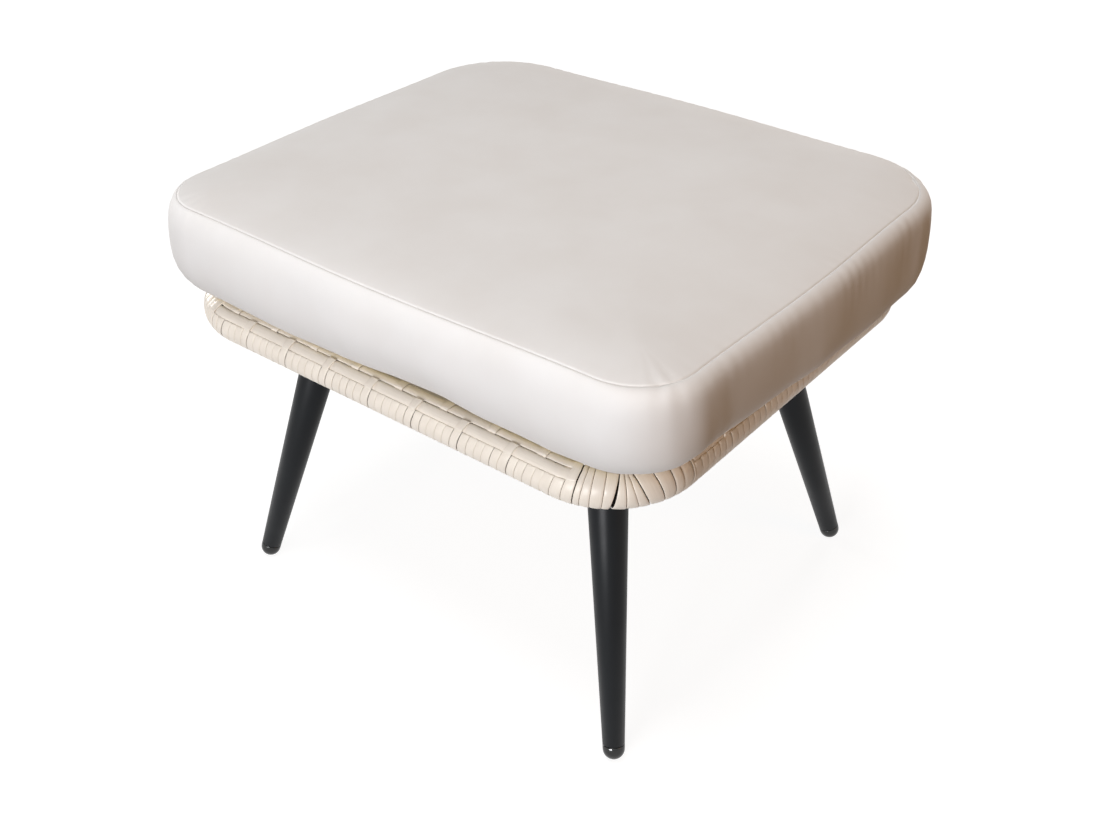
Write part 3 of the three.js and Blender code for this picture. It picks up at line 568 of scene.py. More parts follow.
# How far the runners of the sides before and after a corner reach into it, as shares
RUNNERS_REACH = {
    "front_right": (0.2, 0.0), "front_left": (0.0, 0.2), "back_right": (0.0, 0.2),
    "back_left": (0.2, 0.0),
}
for number, corner in enumerate(CORNERS):
    rng = random.Random(60 + number)
    length, at = bend(corner)
    reach_in, reach_out = RUNNERS_REACH[corner]
    drift_in, drift_out = (DRIFT[SIDES[k]] / length for k in (number - 1, number))
    if corner == "front_right":
        lines = NEAR_CORNER_LINES
    else:
        lines = []
        wedge = rng.choice((4, 5, 7, 8))
        for i in range(CORNER_STRANDS + 1):
            share = i / CORNER_STRANDS
            inner = 0 < i < CORNER_STRANDS
            top = share + inner * rng.uniform(-0.008, 0.008)
            drift = drift_in + (drift_out - drift_in) * share
            fan = -0.05 * inner * math.sin(2 * math.pi * share)
            low_gap = 2.6 if i == wedge else rng.choice((0.1, 0.2, 0.5, 0.9))
            if i == 3 and reach_in or i == 11 and reach_out:
                low_gap = 0.6
            if corner == "front_left" and i > 11:
                low_gap = 0.02
            lines.append((top, top + drift + fan, 0.02 + 0.3 * low_gap, low_gap))
    laid = Lengths()
    for i in range(len(lines) - 1):
        centre = (lines[i][0] + lines[i + 1][0]) / 2

        def edges(angle, pair=(lines[i], lines[i + 1])):
            low = lower_share(angle)
            part = min(low, 1.0)
            out = []
            for sign, (top, bottom, top_gap, low_gap) in zip((0.5, -0.5), pair):
                gap = (top_gap + (low_gap - top_gap) * part) * mm
                out.append((top + (bottom - top) * low) * length + sign * gap)
            return out

        crossed = None
        if centre < reach_in or centre > 1 - reach_out:
            last = lines[i + 1][0] > reach_in if reach_in else lines[i][0] < 1 - reach_out
            crossed = bool(last)
        wind(
            laid, at, edges, lay_radius((crossed, crossed)), rng.uniform(0.1, 0.5) * mm,
            corner_steps, rng.random(), rng.uniform(0, 0.5),
        )
    laid.shape(f"corner_strands_{corner}", f"wrap_corner_{corner}")


# Deck: the same strand woven one over one from rail to rail, pulled tight before the cushion
# is laid on it.
DECK_HALF_X = 233 * mm
DECK_HALF_Y = 203 * mm
DECK_CORNER = 57 * mm
DECK_MIDDLE = 306.95 * mm
WEAVE_RISE = 0.55 * mm
DECK_STRAND = 1.0 * mm
DECK_GAP = 0.6 * mm


def deck_reach(across, half_across, half_along):
    """Half the deck's length along a strand at that distance from the middle."""
    into = abs(across) - (half_across - DECK_CORNER)
    if into <= 0:
        return half_along
    return half_along - DECK_CORNER + math.sqrt(max(DECK_CORNER**2 - into**2, 0))


for way, half_across, half_along in (
    ("long", DECK_HALF_Y, DECK_HALF_X), ("cross", DECK_HALF_X, DECK_HALF_Y),
):
    rng = random.Random(len(way))
    laid = Lengths()
    count = round(2 * half_across / STRAND_PITCH)
    pitch = 2 * half_across / count
    other = 2 * half_along / round(2 * half_along / STRAND_PITCH)
    for i in range(count):
        across = -half_across + (i + 0.5) * pitch
        reach = deck_reach(abs(across) + pitch / 2, half_across, half_along)
        if reach < 4 * STRAND_PITCH:
            continue
        rows, along = [], []
        for s in np.linspace(-reach, reach, round(2 * reach / (other / 4))):
            wave = math.cos(math.pi * (s + half_along - other / 2) / other)
            sign = (1 if i % 2 else -1) * (1 if way == "long" else -1)
            lift = math.copysign(abs(wave) ** 0.6, wave) * sign * WEAVE_RISE
            ring = []
            for share, up in SECTION:
                a = across + share * (pitch - DECK_GAP)
                z = DECK_MIDDLE + lift + (up - 0.5) * DECK_STRAND
                ring.append((s, a, z) if way == "long" else (-a, s, z))
            rows.append(ring)
            along.append(s)
        laid.strand(rows, along, pitch, rng.random())
    laid.shape(f"deck_strands_{way}", "deck_weave")


# Legs: tapered round steel tube in a matt charcoal powder coat, each on its stud, splayed out
# to its foot. A gloss black nylon cap with a round end, scuffed in places by the ground, is
# pushed into the foot.
LEG_TOP = Vector((151 * mm, 118 * mm, 286.55 * mm))
LEG_FOOT = Vector((216 * mm, 187 * mm, 0))
LEG_TOP_RADIUS = 18.5 * mm
LEG_FOOT_RADIUS = 9.5 * mm
LEG_WALL = 1.5 * mm
LEG_LIP = 0.8 * mm
CAP_HEIGHT = 14 * mm
CAP_SPIGOT = 12 * mm
BOSS_DROP = 14 * mm
FIT_GAP = 0.35 * mm
LEG_SIDES = 72
leg_coat = powder_coat("matt_charcoal_powder_coated_tube", "#15171a", "#1b1e21", 0.43, 0.15)
cap_nylon, tree, own = finish("gloss_black_nylon_cap")
scuff = add(tree, "TexNoise", {"Vector": own, "Scale": 1 / (6 * mm), "Detail": 6.0})
surface(
    tree,
    Base_Color=add(tree, "ValToRGB", {0: scuff}, ((0.4, "#08090a"), (0.8, "#101213"))),
    Roughness=add(tree, "ValToRGB", {0: scuff}, ((0.45, 0.1), (0.75, 0.32))),
    IOR=1.53,
)


def turned(profile, origin, axis):
    """A turned form: profile is (radius, height) round the axis, and closes on itself or
    ends on the axis."""
    side = axis.orthogonal().normalized()
    other = axis.cross(side)
    points, faces = [], []
    closed = profile[0] == profile[-1]
    rings = []
    for radius, height in profile[: -1 if closed else None]:
        if radius < 1e-7:
            rings.append([len(points)])
            points.append(origin + axis * height)
            continue
        rings.append(list(range(len(points), len(points) + LEG_SIDES)))
        for k in range(LEG_SIDES):
            a = 2 * math.pi * k / LEG_SIDES
            spoke = (side * math.cos(a) + other * math.sin(a)) * radius
            points.append(origin + axis * height + spoke)
    pairs = list(zip(rings, rings[1:])) + ([(rings[-1], rings[0])] if closed else [])
    for low, high in pairs:
        for k in range(LEG_SIDES):
            k1 = (k + 1) % LEG_SIDES
            places = ((low, k), (low, k1), (high, k1), (high, k))
            quad = [ring[i % len(ring)] for ring, i in places]
            faces.append(list(dict.fromkeys(quad)))
    return points, faces


for corner, (sx, sy) in zip(CORNERS, QUADRANTS):
    foot = Vector((sx * LEG_FOOT.x, sy * LEG_FOOT.y, 0))
    top = Vector((sx * LEG_TOP.x, sy * LEG_TOP.y, LEG_TOP.z))
    axis = (top - foot).normalized()
    leg_top = (top - foot).length - BOSS_DROP - FIT_GAP
    leg_low = CAP_HEIGHT + FIT_GAP
    bore = (LEG_FOOT_RADIUS - LEG_WALL, leg_low)
    profile = [
        bore, (LEG_FOOT_RADIUS - 0.35 * mm, leg_low), (LEG_FOOT_RADIUS, leg_low + 0.4 * mm),
        (LEG_TOP_RADIUS, leg_top - LEG_LIP), (LEG_TOP_RADIUS - 0.3 * mm, leg_top - 0.2 * mm),
        (LEG_TOP_RADIUS - LEG_LIP, leg_top), (LEG_TOP_RADIUS - LEG_WALL, leg_top), bore,
    ]
    points, faces = turned(profile, foot, axis)
    shape(f"tapered_leg_{corner}", points, faces, leg_coat, "frame", [f"leg_{corner}"])
    spigot = LEG_FOOT_RADIUS - LEG_WALL - FIT_GAP
    ball = LEG_FOOT_RADIUS
    quarter = [math.pi / 2 * k / 12 for k in range(13)]
    profile = [(ball * math.sin(a), ball - ball * math.cos(a)) for a in quarter]
    end = CAP_HEIGHT + CAP_SPIGOT
    profile += [
        (ball, CAP_HEIGHT - 0.7 * mm), (ball - 0.25 * mm, CAP_HEIGHT - 0.2 * mm),
        (ball - 0.8 * mm, CAP_HEIGHT), (spigot, CAP_HEIGHT), (spigot, end - 0.6 * mm),
        (spigot - 0.6 * mm, end), (0.0, end),
    ]
    points, faces = turned(profile, foot, axis)
    # The ball's tip is worn to a small flat on the ground
    points = [Vector((p.x, p.y, max(p.z, 0.0))) for p in points]
    shape(
        f"round_foot_cap_{corner}", points, faces, cap_nylon, "frame",
        [f"foot_cap_{corner}"],
    )


# Cushion cover: closely woven polyester in warm white, cut as a top, a bottom and one band of
# boxing, sewn with plain seams. The foam inside pushes the band out and rounds both its edges,
# and the loose cushion lies a few millimetres off the middle of the frame.
CUSHION_UNDER = 309.95 * mm
SEAM_HALF_X = 260 * mm
SEAM_HALF_Y = 222 * mm
SEAM_CORNERS = (52 * mm, 50 * mm, 80 * mm, 80 * mm)
SEAM_BOWS = (4.6 * mm, 3.4 * mm, 5.0 * mm, 2.8 * mm)
CUSHION_SHIFT = np.array([5.0, 1.8]) * mm
SEAM_HEIGHT = 88 * mm
CROWN = 7.4 * mm
CROWN_REACH = 30 * mm
ZIP_HEIGHT = 43 * mm
ZIP_HALF_LENGTH = 150 * mm
BACK_PLANE = 226 * mm
BACK_LOOSE = 11 * mm
BACK_SOFT = 6 * mm
BACK_REACH = 40 * mm
# Boxing from the lower seam to the upper: out from the seam's outline, and up. Its upper end
# rolls down into the seam's groove, and the top panel's edge rolls up out of it. The foam fills
# the right side best, and the others only in their upper half, by OTHER_FULLNESS.
BOXING = np.array(
    [
        (-19, 0.35), (-13.5, 1.2), (-8.2, 3.6), (-3.0, 7.4), (2.4, 12.6), (7.2, 19),
        (10.6, 26.5), (12.4, 35), (12.9, 44), (12.5, 53), (11.5, 61), (10.0, 68),
        (8.2, 73.8), (6.2, 78.6), (4.3, 82.4), (2.7, 85.2), (1.45, 86.9), (0.75, 87.6),
        (0.25, 87.75), (-0.15, 86.9),
    ]
) * mm
FULL_BOXING = np.array(
    [
        (-15, 0.15), (-8.5, 0.5), (-2.6, 1.8), (2.4, 4.2), (6.6, 8.0), (9.6, 13.4),
        (11.5, 20.4), (12.5, 29), (12.9, 39), (12.9, 49), (12.8, 58), (12.5, 65),
        (11.9, 71.5), (10.8, 77), (9.1, 81.2), (6.8, 84.4), (4.4, 86.4), (2.2, 87.4),
        (0.25, 87.75), (-0.15, 86.9),
    ]
) * mm
OTHER_FULLNESS = 0.35
# The band's lower half ends between these heights, and on the right side it is full towards
# the back, from and to these places
LOWER_HALF = (8 * mm, 55 * mm)
FULL_TO_BACK = (-60 * mm, 100 * mm)
# Where the lower half draws in and up: places along the seam in metres, and shares
TUCK_PLACES = (0.0, 0.15, 0.21, 0.26, 0.32, 0.36, 0.42, 0.455, 0.49, 0.53, 0.58, 0.68)
TUCK_SHARES = (0.0, 0.0, 0.25, 0.65, 0.75, 0.35, 0.15, 0.35, 0.75, 0.7, 0.45, 0.0)
TUCK_IN = 8 * mm
TUCK_UP = 4 * mm
BOTTOM_EDGE = 7 * mm
TOP_EDGE = np.array(
    [
        (-0.55, 87.95), (-1.2, 88.5), (-2.2, 88.75), (-4.0, 89.15), (-7.0, 89.8), (-11, 90.5),
        (-17, 91.45), (-25, 92.45), (-34, 93.3), (-42, 93.85),
    ]
) * mm


def seam_plan(counts, half_x, half_y, corners, bows):
    """Points and normals round the seam, from the middle of the front left corner. counts has
    the steps along the front and back, and along the sides."""
    fine, marks = [], []
    for quarter, (sx, sy) in enumerate(QUADRANTS):
        corner, following = corners[quarter], corners[(quarter + 1) % 4]
        marks.append(len(fine) + 45)
        for k in range(91):
            a = math.radians(180 + 90 * quarter + k)
            c, s = math.cos(a), math.sin(a)
            x, y = sx * (half_x - corner) + corner * c, sy * (half_y - corner) + corner * s
            fine.append((x, y, c, s))
        nx, ny = ((0, -1), (1, 0), (0, 1), (-1, 0))[quarter]
        tx, ty = -ny, nx
        reach, other = (half_x, half_y) if ny else (half_y, half_x)
        flat = 2 * reach - corner - following
        for k in range(1, 200):
            share = k / 200
            bow = bows[quarter] * math.sin(math.pi * share) ** 2
            lean = -bows[quarter] * math.pi * math.sin(2 * math.pi * share) / flat
            run = corner - reach + flat * share
            n = Vector((nx + tx * lean, ny + ty * lean)).normalized()
            out = other + bow
            fine.append((nx * out + tx * run, ny * out + ty * run, *n))
    fine = np.array(fine)
    plan = []
    for i in range(4):
        first, last = marks[i], marks[(i + 1) % 4] + (0 if i < 3 else len(fine))
        run = fine[np.arange(first, last + 1) % len(fine)]
        length = np.r_[0, np.cumsum(np.linalg.norm(np.diff(run[:, :2], axis=0), axis=1))]
        at = np.linspace(0, length[-1], counts[i % 2] + 1)[:-1]
        plan.append(np.column_stack([np.interp(at, length, run[:, c]) for c in range(4)]))
    plan = np.vstack(plan)
    plan[:, 2:] /= np.linalg.norm(plan[:, 2:], axis=1)[:, None]
    return plan


def coons(border, counts):
    """A grid of points across a border ring whose first point is a corner."""
    nx, ny = counts
    a = border[0 : nx + 1]
    b = border[nx : nx + ny + 1]
    c = border[nx + ny : 2 * nx + ny + 1][::-1]
    d = np.vstack([border[2 * nx + ny :], border[:1]])[::-1]
    u = np.linspace(0, 1, nx + 1)[:, None, None]
    v = np.linspace(0, 1, ny + 1)[None, :, None]
    ruled = (1 - v) * a[:, None] + v * c[:, None] + (1 - u) * d[None] + u * b[None]
    corners = (
        (1 - u) * (1 - v) * a[0] + u * (1 - v) * a[-1] + (1 - u) * v * c[0] + u * v * c[-1]
    )
    return ruled - corners


def panel_index(counts, ring, around, first_new):
    """The point numbers of a panel's grid, whose border is a ring of the band."""
    nx, ny = counts
    index = np.zeros((nx + 1, ny + 1), int)
    index[1:nx, 1:ny] = first_new + np.arange((nx - 1) * (ny - 1)).reshape(nx - 1, ny - 1)
    index[:, 0] = np.arange(nx + 1)
    index[nx, :] = nx + np.arange(ny + 1)
    index[:, ny] = nx + ny + nx - np.arange(nx + 1)
    index[0, :] = (2 * nx + ny + ny - np.arange(ny + 1)) % around
    index[:, [0, ny]] += ring * around
    index[[0, nx], 1:ny] += ring * around
    return index


def eased(x, start, end):
    """0 up to the start, 1 from the end on, and a smooth rise between, for arrays."""
    x = np.clip((x - start) / (end - start), 0, 1)
    return x * x * (3 - 2 * x)


def sewn_box(counts, inset, profile, full, edge, crown, drop):
    """A box cushion's skin: points, faces, cloth coordinates for each corner of a face, for
    each point its place along the seam and its distance from it, above 0 on the top, and the
    seam's length. profile is the plain boxing and full the fullest."""
    plan = seam_plan(
        counts, SEAM_HALF_X - inset, SEAM_HALF_Y - inset,
        [c - inset for c in SEAM_CORNERS], SEAM_BOWS,
    )
    around = len(plan)
    fine = np.arange(0, len(profile) - 1 + 1e-9, 0.5)
    seam_ring = len(fine)
    halves = []
    for half in (profile, full):
        outs, ups = (np.interp(fine, np.arange(len(half)), half[:, c]) for c in (0, 1))
        outs = np.r_[half[0, 0] - BOTTOM_EDGE, outs, edge[:, 0]]
        ups = np.r_[0.0, ups, edge[:, 1]] - drop
        ups[:2] = np.maximum(ups[:2], 0)
        halves.append((outs, ups))
    (outs, ups), (full_outs, full_ups) = halves
    lengths = np.r_[0, np.cumsum(np.linalg.norm(np.diff(plan[:, :2], axis=0), axis=1))]
    low = 1 - eased(ups, *LOWER_HALF)[:, None]
    to_back = eased(plan[:, 1], *FULL_TO_BACK)[None]
    # plan[:, 2] says how far the seam looks to the right
    right = eased(plan[:, 2], 0, 0.625)[None]
    tuck = low * np.interp(lengths, TUCK_PLACES, TUCK_SHARES)[None]
    others = OTHER_FULLNESS * np.clip(2 * ups / SEAM_HEIGHT - 0.6, 0, 1)[:, None]
    fullness = others + (1 - others) * right * (1 - low * (1 - to_back))
    out_here = outs[:, None] + (full_outs - outs)[:, None] * fullness - TUCK_IN * tuck
    rings = np.zeros((len(outs), around, 3))
    rings[..., :2] = plan[None, :, :2] + plan[None, :, 2:] * out_here[..., None]
    rings[..., 2] = ups[:, None] + (full_ups - ups)[:, None] * fullness
    # The bottom panel stays on the deck, so the lift begins past its edge
    lifted = np.clip((outs + 26 * mm) / (13 * mm), 0, 1)[:, None]
    rings[..., 2] += TUCK_UP * tuck * lifted
    total = lengths[-1] + np.linalg.norm(plan[0, :2] - plan[-1, :2])
    climb = np.r_[0, np.cumsum(np.hypot(np.diff(outs), np.diff(ups)))]
    away = climb - climb[seam_ring]

    points = [rings.reshape(-1, 3)]
    place = [np.tile(lengths, len(outs))]
    distance = [np.repeat(away, around)]
    first, second = np.arange(around), (np.arange(around) + 1) % around
    faces, cloth = [], []
    after = np.r_[lengths[1:], total]
    for r in range(len(outs) - 1):
        low, high = r * around, (r + 1) * around
        faces.append(np.stack([low + first, low + second, high + second, high + first], 1))
        if r >= seam_ring:
            ends = ((r, first), (r, second), (r + 1, second), (r + 1, first))
            spots = [rings[i, k, :2] for i, k in ends]
        else:
            ends = ((lengths, r), (after, r), (after, r + 1), (lengths, r + 1))
            spots = [np.column_stack([s, np.full(around, climb[i])]) for s, i in ends]
        cloth.append(np.stack(spots, 1))
    used = len(outs) * around
    for ring, up in ((len(outs) - 1, True), (0, False)):
        grid = coons(rings[ring], counts)
        inner = grid[1:-1, 1:-1].reshape(-1, 3).copy()
        gap = inner[:, None, :2] - plan[None, ::4, :2]
        near = np.linalg.norm(gap, axis=2)
        depth = near.min(axis=1)
        place.append(lengths[::4][near.argmin(axis=1)])
        distance.append(depth if up else away[0] - depth)
        if up:
            level = ups[-1] - crown * (1 - np.exp(edge[-1, 0] / CROWN_REACH))
            inner[:, 2] = level + crown * (1 - np.exp(-depth / CROWN_REACH))
        else:
            inner[:, 2] = 0.0
        index = panel_index(counts, ring, around, used)
        used += len(inner)
        points.append(inner)
        low, high = slice(None, -1), slice(1, None)
        corners = ((low, low), (high, low), (high, high), (low, high))[:: 1 if up else -1]
        faces.append(np.stack([index[c].ravel() for c in corners], 1))
        cloth.append(np.stack([grid[c][..., :2].reshape(-1, 2) for c in corners], 1))
    points = np.vstack(points)
    points[:, :2] += CUSHION_SHIFT
    return (
        points, np.vstack(faces), np.vstack(cloth), np.concatenate(place),
        np.concatenate(distance), total,
    )


def wander(place, total, longest, shortest, seed):
    """A smooth curve along the seam that closes on itself, between about -1 and 1."""
    rng = random.Random(seed)
    value = np.zeros_like(place)
    turns = range(round(total / longest), round(total / shortest) + 1)
    picked = rng.sample(list(turns), min(9, len(turns)))
    for n in picked:
        value += math.sqrt(2 / len(picked)) * np.sin(
            2 * math.pi * n * place / total + rng.uniform(0, 6.28)
        )
    return value


def normals_of(points, faces):
    """A unit normal at each point, from the faces round it."""
    across = points[faces[:, 2]] - points[faces[:, 0]]
    other = points[faces[:, 3]] - points[faces[:, 1]]
    flat = np.cross(across, other)
    normal = np.zeros_like(points)
    for k in range(4):
        for c in range(3):
            normal[:, c] += np.bincount(faces[:, k], flat[:, c], len(points))
    return normal / np.maximum(np.linalg.norm(normal, axis=1), 1e-12)[:, None]


SWELL_CAP = 6 * mm
SWELL_FRAMES = 20
SWELL_GRID = 6 * mm
SHRUNK = 0.985
SEAM_HOLD = 7 * mm
BOTTOM_HOLD = 4 * mm


def coordinates(mesh):
    """The places of a mesh's points."""
    flat = np.zeros(3 * len(mesh.vertices), np.float32)
    mesh.vertices.foreach_get("co", flat)
    return flat.reshape(-1, 3)


def search_tree(points):
    """Finds the points nearest to a place."""
    made = KDTree(len(points))
    for i, p in enumerate(points):
        made.insert(Vector(p), i)
    made.balance()
    return made


def swell(points, faces, distance):
    """Cloth simulation: how the filled cover's panels move between seams that hold, on an
    even skin that is a little smaller than the cover."""
    centre = np.array([*CUSHION_SHIFT, SEAM_HEIGHT / 2])
    shrunk = centre + (points - centre) * SHRUNK
    data = bpy.data.meshes.new("filled_cover")
    data.from_pydata(shrunk.tolist(), [], faces.tolist())
    filled = bpy.data.objects.new("filled_cover", data)
    bpy.context.scene.collection.objects.link(filled)
    blocks = filled.modifiers.new("blocks", "REMESH")
    blocks.mode = "VOXEL"
    blocks.voxel_size = SWELL_GRID
    graph = bpy.context.evaluated_depsgraph_get()
    even = bpy.data.meshes.new_from_object(filled.evaluated_get(graph))
    filled.modifiers.clear()
    filled.data = even
    start = coordinates(even)
    seams = search_tree(shrunk[np.abs(distance) < 1.2 * mm])
    sewn = filled.vertex_groups.new(name="sewn")
    for i, p in enumerate(start):
        near = seams.find(Vector(p))[2]
        sewn.add([i], float(near < SEAM_HOLD or p[2] < BOTTOM_HOLD), "REPLACE")
    cloth = filled.modifiers.new("cloth", "CLOTH")
    for setting, value in {
        "quality": 5, "mass": 0.2, "tension_stiffness": 18, "compression_stiffness": 18,
        "shear_stiffness": 8, "bending_stiffness": 1.5, "use_pressure": True,
        "uniform_pressure_force": 4, "vertex_group_mass": "sewn",
    }.items():
        setattr(cloth.settings, setting, value)
    cloth.settings.effector_weights.gravity = 0
    for f in range(1, SWELL_FRAMES + 1):
        bpy.context.scene.frame_set(f)
    graph = bpy.context.evaluated_depsgraph_get()
    moved = coordinates(filled.evaluated_get(graph).to_mesh()) - start
    bpy.context.scene.frame_set(1)
    size = np.linalg.norm(moved, axis=1)
    moved *= np.minimum(1, SWELL_CAP / np.maximum(size, 1e-9))[:, None]
    nearby = search_tree(start)
    out = np.zeros_like(points)
    for i, p in enumerate(shrunk):
        found = nearby.find_n(Vector(p), 6)
        weights = np.array([1 / (d + 2 * mm) ** 2 for _, _, d in found])
        out[i] = (moved[[k for _, k, _ in found]] * weights[:, None]).sum(0) / weights.sum()
    bpy.data.objects.remove(filled)
    return out


COVER_COUNTS = (180, 152)
# Depths of the cloth's relief, plain and what is added at the corners
PUCKER = 0.13 * mm
PUCKER_AT_CORNERS = 0.08 * mm
LEAN = 0.7 * mm
FOLD = 0.05 * mm
FOLD_AT_CORNERS = 0.1 * mm
NEAR_CORNER_FILL = 3.2 * mm
points, faces, cloth, place, distance, total = sewn_box(
    COVER_COUNTS, 0.0, BOXING, FULL_BOXING, TOP_EDGE, CROWN, 0.0
)
on_top = np.clip(distance / (20 * mm), 0, 1)
on_band = np.where((distance < 0) & (distance > -100 * mm), 1.0, 0.0)
corner_share = np.zeros(len(points))
for sx, sy in QUADRANTS:
    spot = np.array([sx * (SEAM_HALF_X - 18 * mm), sy * (SEAM_HALF_Y - 18 * mm)])
    away = np.linalg.norm(points[:, :2] - CUSHION_SHIFT - spot, axis=1)
    corner_share = np.maximum(corner_share, np.exp(-((away / (55 * mm)) ** 2)))
outward = normals_of(points, faces)
relief = np.zeros(len(points))
# Puckers: short folds square to the seam, deeper at the corners, on both sides of it
pucker = wander(place, total, 32 * mm, 11 * mm, 5)
fade = np.exp(-np.abs(distance) / np.where(distance > 0, 11 * mm, 16 * mm))
start_up = 1 - np.exp(-np.abs(distance) / (1.5 * mm))
relief += pucker * fade * start_up * (PUCKER + PUCKER_AT_CORNERS * corner_share)
# The band leans in and out a little between the corners, and folds up and down at them
lean = wander(place, total, 400 * mm, 90 * mm, 11)
height_share = np.clip(points[:, 2] / SEAM_HEIGHT, 0, 1)
belly = np.sin(math.pi * height_share) * on_band
relief += lean * belly * LEAN
folds = wander(place + 0.25 * points[:, 2], total, 60 * mm, 18 * mm, 23)
relief += folds * belly * (FOLD + FOLD_AT_CORNERS * corner_share)
# The near corner is filled out squarer than the seam over it
spot = np.array([SEAM_HALF_X - 12 * mm, 12 * mm - SEAM_HALF_Y]) + CUSHION_SHIFT
away = np.linalg.norm(points[:, :2] - spot, axis=1)
relief += belly * NEAR_CORNER_FILL * np.exp(-((away / (42 * mm)) ** 2))
# Broad unevenness of the filling under the top: width, height and place in the noise
for wave, height, seed in ((130, 1.0, 1.0), (55, 0.32, 7.0)):
    uneven = [noise.noise(Vector(p) / (wave * mm) + Vector((seed, 0, 0))) for p in points]
    relief += on_top * np.array(uneven) * height * mm
# Creases left where hands have pressed: ends in the plan, depth and half width in millimetres
for x0, y0, x1, y1, depth, width in (
    (138, -150, 205, -182, 0.3, 10), (188, -160, 204, -188, 0.2, 7),
    (214, -112, 190, -96, 0.25, 7), (-60, -60, 40, -95, 0.25, 16),
    (60, 90, 150, 120, 0.25, 14), (-180, -120, -150, -40, 0.25, 14),
):
    first, run = np.array([x0, y0]) * mm, np.array([x1 - x0, y1 - y0]) * mm
    along = np.clip(((points[:, :2] - first) @ run) / (run @ run), 0, 1)
    off = np.linalg.norm(points[:, :2] - first - along[:, None] * run, axis=1)
    ends = np.sin(math.pi * np.clip(along, 0.02, 0.98))
    relief -= (distance > 0) * depth * mm * ends * np.exp(-((off / (width * mm)) ** 2))
# Tucks where the panel is gathered into the seam: place along it, distance from it, depth,
# half length and half width in millimetres
for at, off, depth, length, width in ((909, 2.7, 2.2, 11, 1.7), (506, 0.4, 0.9, 3.5, 4)):
    near = np.exp(-(((place - at * mm) / (length * mm)) ** 2))
    relief -= depth * mm * near * np.exp(-(((distance - off * mm) / (width * mm)) ** 2))
filled = swell(points, faces, distance)
rise = (filled * outward).sum(1) * (0.35 * on_top + 0.3 * belly)
points += outward * rise[:, None]
points += outward * relief[:, None]
# The zip's tapes hold the back in at its height, and the foam pushes it out softly round them
off_zip = eased(np.abs(points[:, 2] - ZIP_HEIGHT), 14 * mm, 44 * mm)
past_end = eased(np.abs(points[:, 0]) - ZIP_HALF_LENGTH, 6 * mm, 81 * mm)
loose = 1 - (1 - off_zip) * (1 - past_end)
over = points[:, 1] - BACK_PLANE - BACK_LOOSE * loose
soft = np.sqrt(over**2 + (BACK_SOFT * (0.3 + loose)) ** 2)
points[:, 1] -= (over + soft) / 2 * (over > -BACK_REACH)
points[:, 2] = np.maximum(points[:, 2], 0.0) + CUSHION_UNDER

# The cloth is matt, with a soft sheen from its fine fibres and a close grid of threads. The
# real thread is under half a millimetre; it is drawn at 1.1 mm so that it shows
THREAD = 1.1 * mm
# The distance between a wave texture's bands at scale 1, in metres
WAVE = 2 * math.pi / 20
cloth_white, tree, own = finish("woven_polyester_cover_cloth")
unrolled = add(tree, "UVMap", uv_map="unrolled")
warp, weft = (
    add(
        tree,
        "TexWave",
        {"Vector": unrolled, "Scale": WAVE / THREAD, "Distortion": 0.6},
        bands_direction=way,
    ).outputs["Fac"]
    for way in "XY"
)
weave = add(tree, "Math", {0: warp, 1: weft}, operation="MULTIPLY")
slub = add(tree, "TexNoise", {"Vector": own, "Scale": 1 / (60 * mm), "Detail": 4.0})
surface(
    tree,
    Base_Color=add(tree, "ValToRGB", {0: slub}, ((0.3, "#e5e2df"), (0.7, "#e9e7e5"))),
    Roughness=0.88,
    Sheen_Weight=0.15,
    Sheen_Roughness=0.5,
    Normal=add(tree, "Bump", {"Height": weave, "Strength": 0.12, "Distance": 0.15 * mm}),
)
cover = shape(
    "cushion_cover_sewn", points, faces, cloth_white, "cushion",
    ["cushion_cover"], cloth.reshape(-1, 2),
)

# Foam core: one block of cut polyurethane foam that fills the cover, with open pores on its
# cut faces. It is hidden when the zip is closed.
open_foam, tree, own = finish("cut_polyurethane_foam")
pores = add(tree, "TexVoronoi", {"Vector": own, "Scale": 1 / (1.6 * mm)})
surface(
    tree,
    Base_Color=add(tree, "ValToRGB", {0: pores}, ((0.1, "#d8c995"), (0.6, "#efe3b8"))),
    Roughness=0.95,
    Normal=add(tree, "Bump", {"Height": pores, "Strength": 0.5, "Distance": 0.4 * mm}),
)
FOAM_INSET = 4 * mm
FOAM_LIFT = 1.5 * mm
FOAM_BOXING = BOXING[:-2] * np.array([0.75, 1.0])
block, block_faces = sewn_box(
    (60, 50), FOAM_INSET, FOAM_BOXING, FOAM_BOXING, TOP_EDGE[2:] - 0.5 * mm, CROWN * 0.7,
    2.5 * mm,
)[:2]
block[:, 1] = np.minimum(block[:, 1], BACK_PLANE - FOAM_INSET)
block[:, 2] = np.maximum(block[:, 2], 0.0) + CUSHION_UNDER + FOAM_LIFT
core = shape("foam_core", block, block_faces, open_foam, "cushion", ["cushion_foam"])

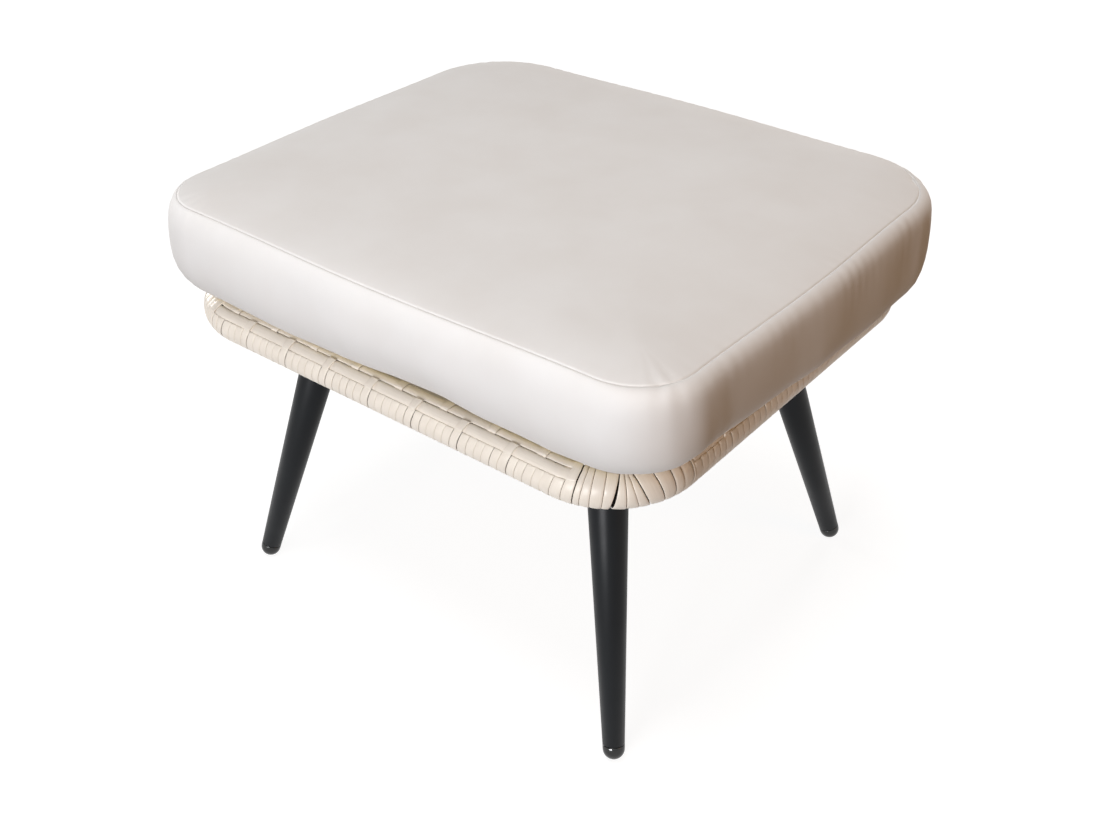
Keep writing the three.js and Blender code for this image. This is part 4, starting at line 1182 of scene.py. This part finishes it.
# Zip in the back of the boxing: woven tapes with fine ribs, a chain of pale nylon teeth, and a
# cast zinc slider with its pull. The ribs are drawn 4 mm apart so that they show.
TAPE_RIB = 3.948 * mm
tape_cloth, tree, own = finish("woven_polyester_zip_tape")
ribs = add(
    tree,
    "TexWave",
    {"Vector": own, "Scale": WAVE / TAPE_RIB, "Distortion": 1.0},
    bands_direction="X",
).outputs["Fac"]
surface(
    tree,
    Base_Color=add(tree, "ValToRGB", {0: ribs}, ((0.2, "#d5d0ca"), (0.8, "#dfdbd6"))),
    Roughness=0.85,
    Normal=add(tree, "Bump", {"Height": ribs, "Strength": 0.3, "Distance": 0.2 * mm}),
)
nylon_teeth, tree, own = finish("moulded_pale_nylon_teeth")
mottle = add(tree, "TexNoise", {"Vector": own, "Scale": 1 / (3 * mm), "Detail": 3.0})
surface(
    tree,
    Base_Color=add(tree, "ValToRGB", {0: mottle}, ((0.3, "#cfcac3"), (0.7, "#dcd8d2"))),
    Roughness=0.4,
    IOR=1.53,
)
recoat("zip_chain", nylon_teeth)
TAPE_LENGTH = 312 * mm
TAPE_WIDTH = 13 * mm
TAPE_THICKNESS = 0.8 * mm
CHAIN_WIDTH = 8 * mm
STITCH_DIP = 0.25 * mm
for name, sign in (("upper", 1), ("lower", -1)):
    laid = Lengths()
    middle = CUSHION_UNDER + ZIP_HEIGHT
    middle += sign * (CHAIN_WIDTH / 2 + FIT_GAP + TAPE_WIDTH / 2)
    rows, along = [], []
    for k, x in enumerate(np.linspace(-TAPE_LENGTH / 2, TAPE_LENGTH / 2, 313)):
        ring = []
        for across, up in SECTION:
            # A line of stitches joins each tape to the boxing on its outer side
            sewn = up > 0.5 and across * sign == -0.22 and k % 3
            y = BACK_PLANE + FIT_GAP + up * TAPE_THICKNESS - STITCH_DIP * bool(sewn)
            ring.append((x, y, middle - across * TAPE_WIDTH))
        rows.append(ring)
        along.append(x)
    laid.strand(rows, along, TAPE_WIDTH, 0.5)
    shape(
        f"zip_tape_sewn_{name}", laid.points, laid.faces, tape_cloth, "cushion",
        [f"zip_tape_{name}"],
    )
for node in ("zip_stop_start", "zip_stop_end", "zip_slider", "zip_pull"):
    recoat(node, zinc_plate)
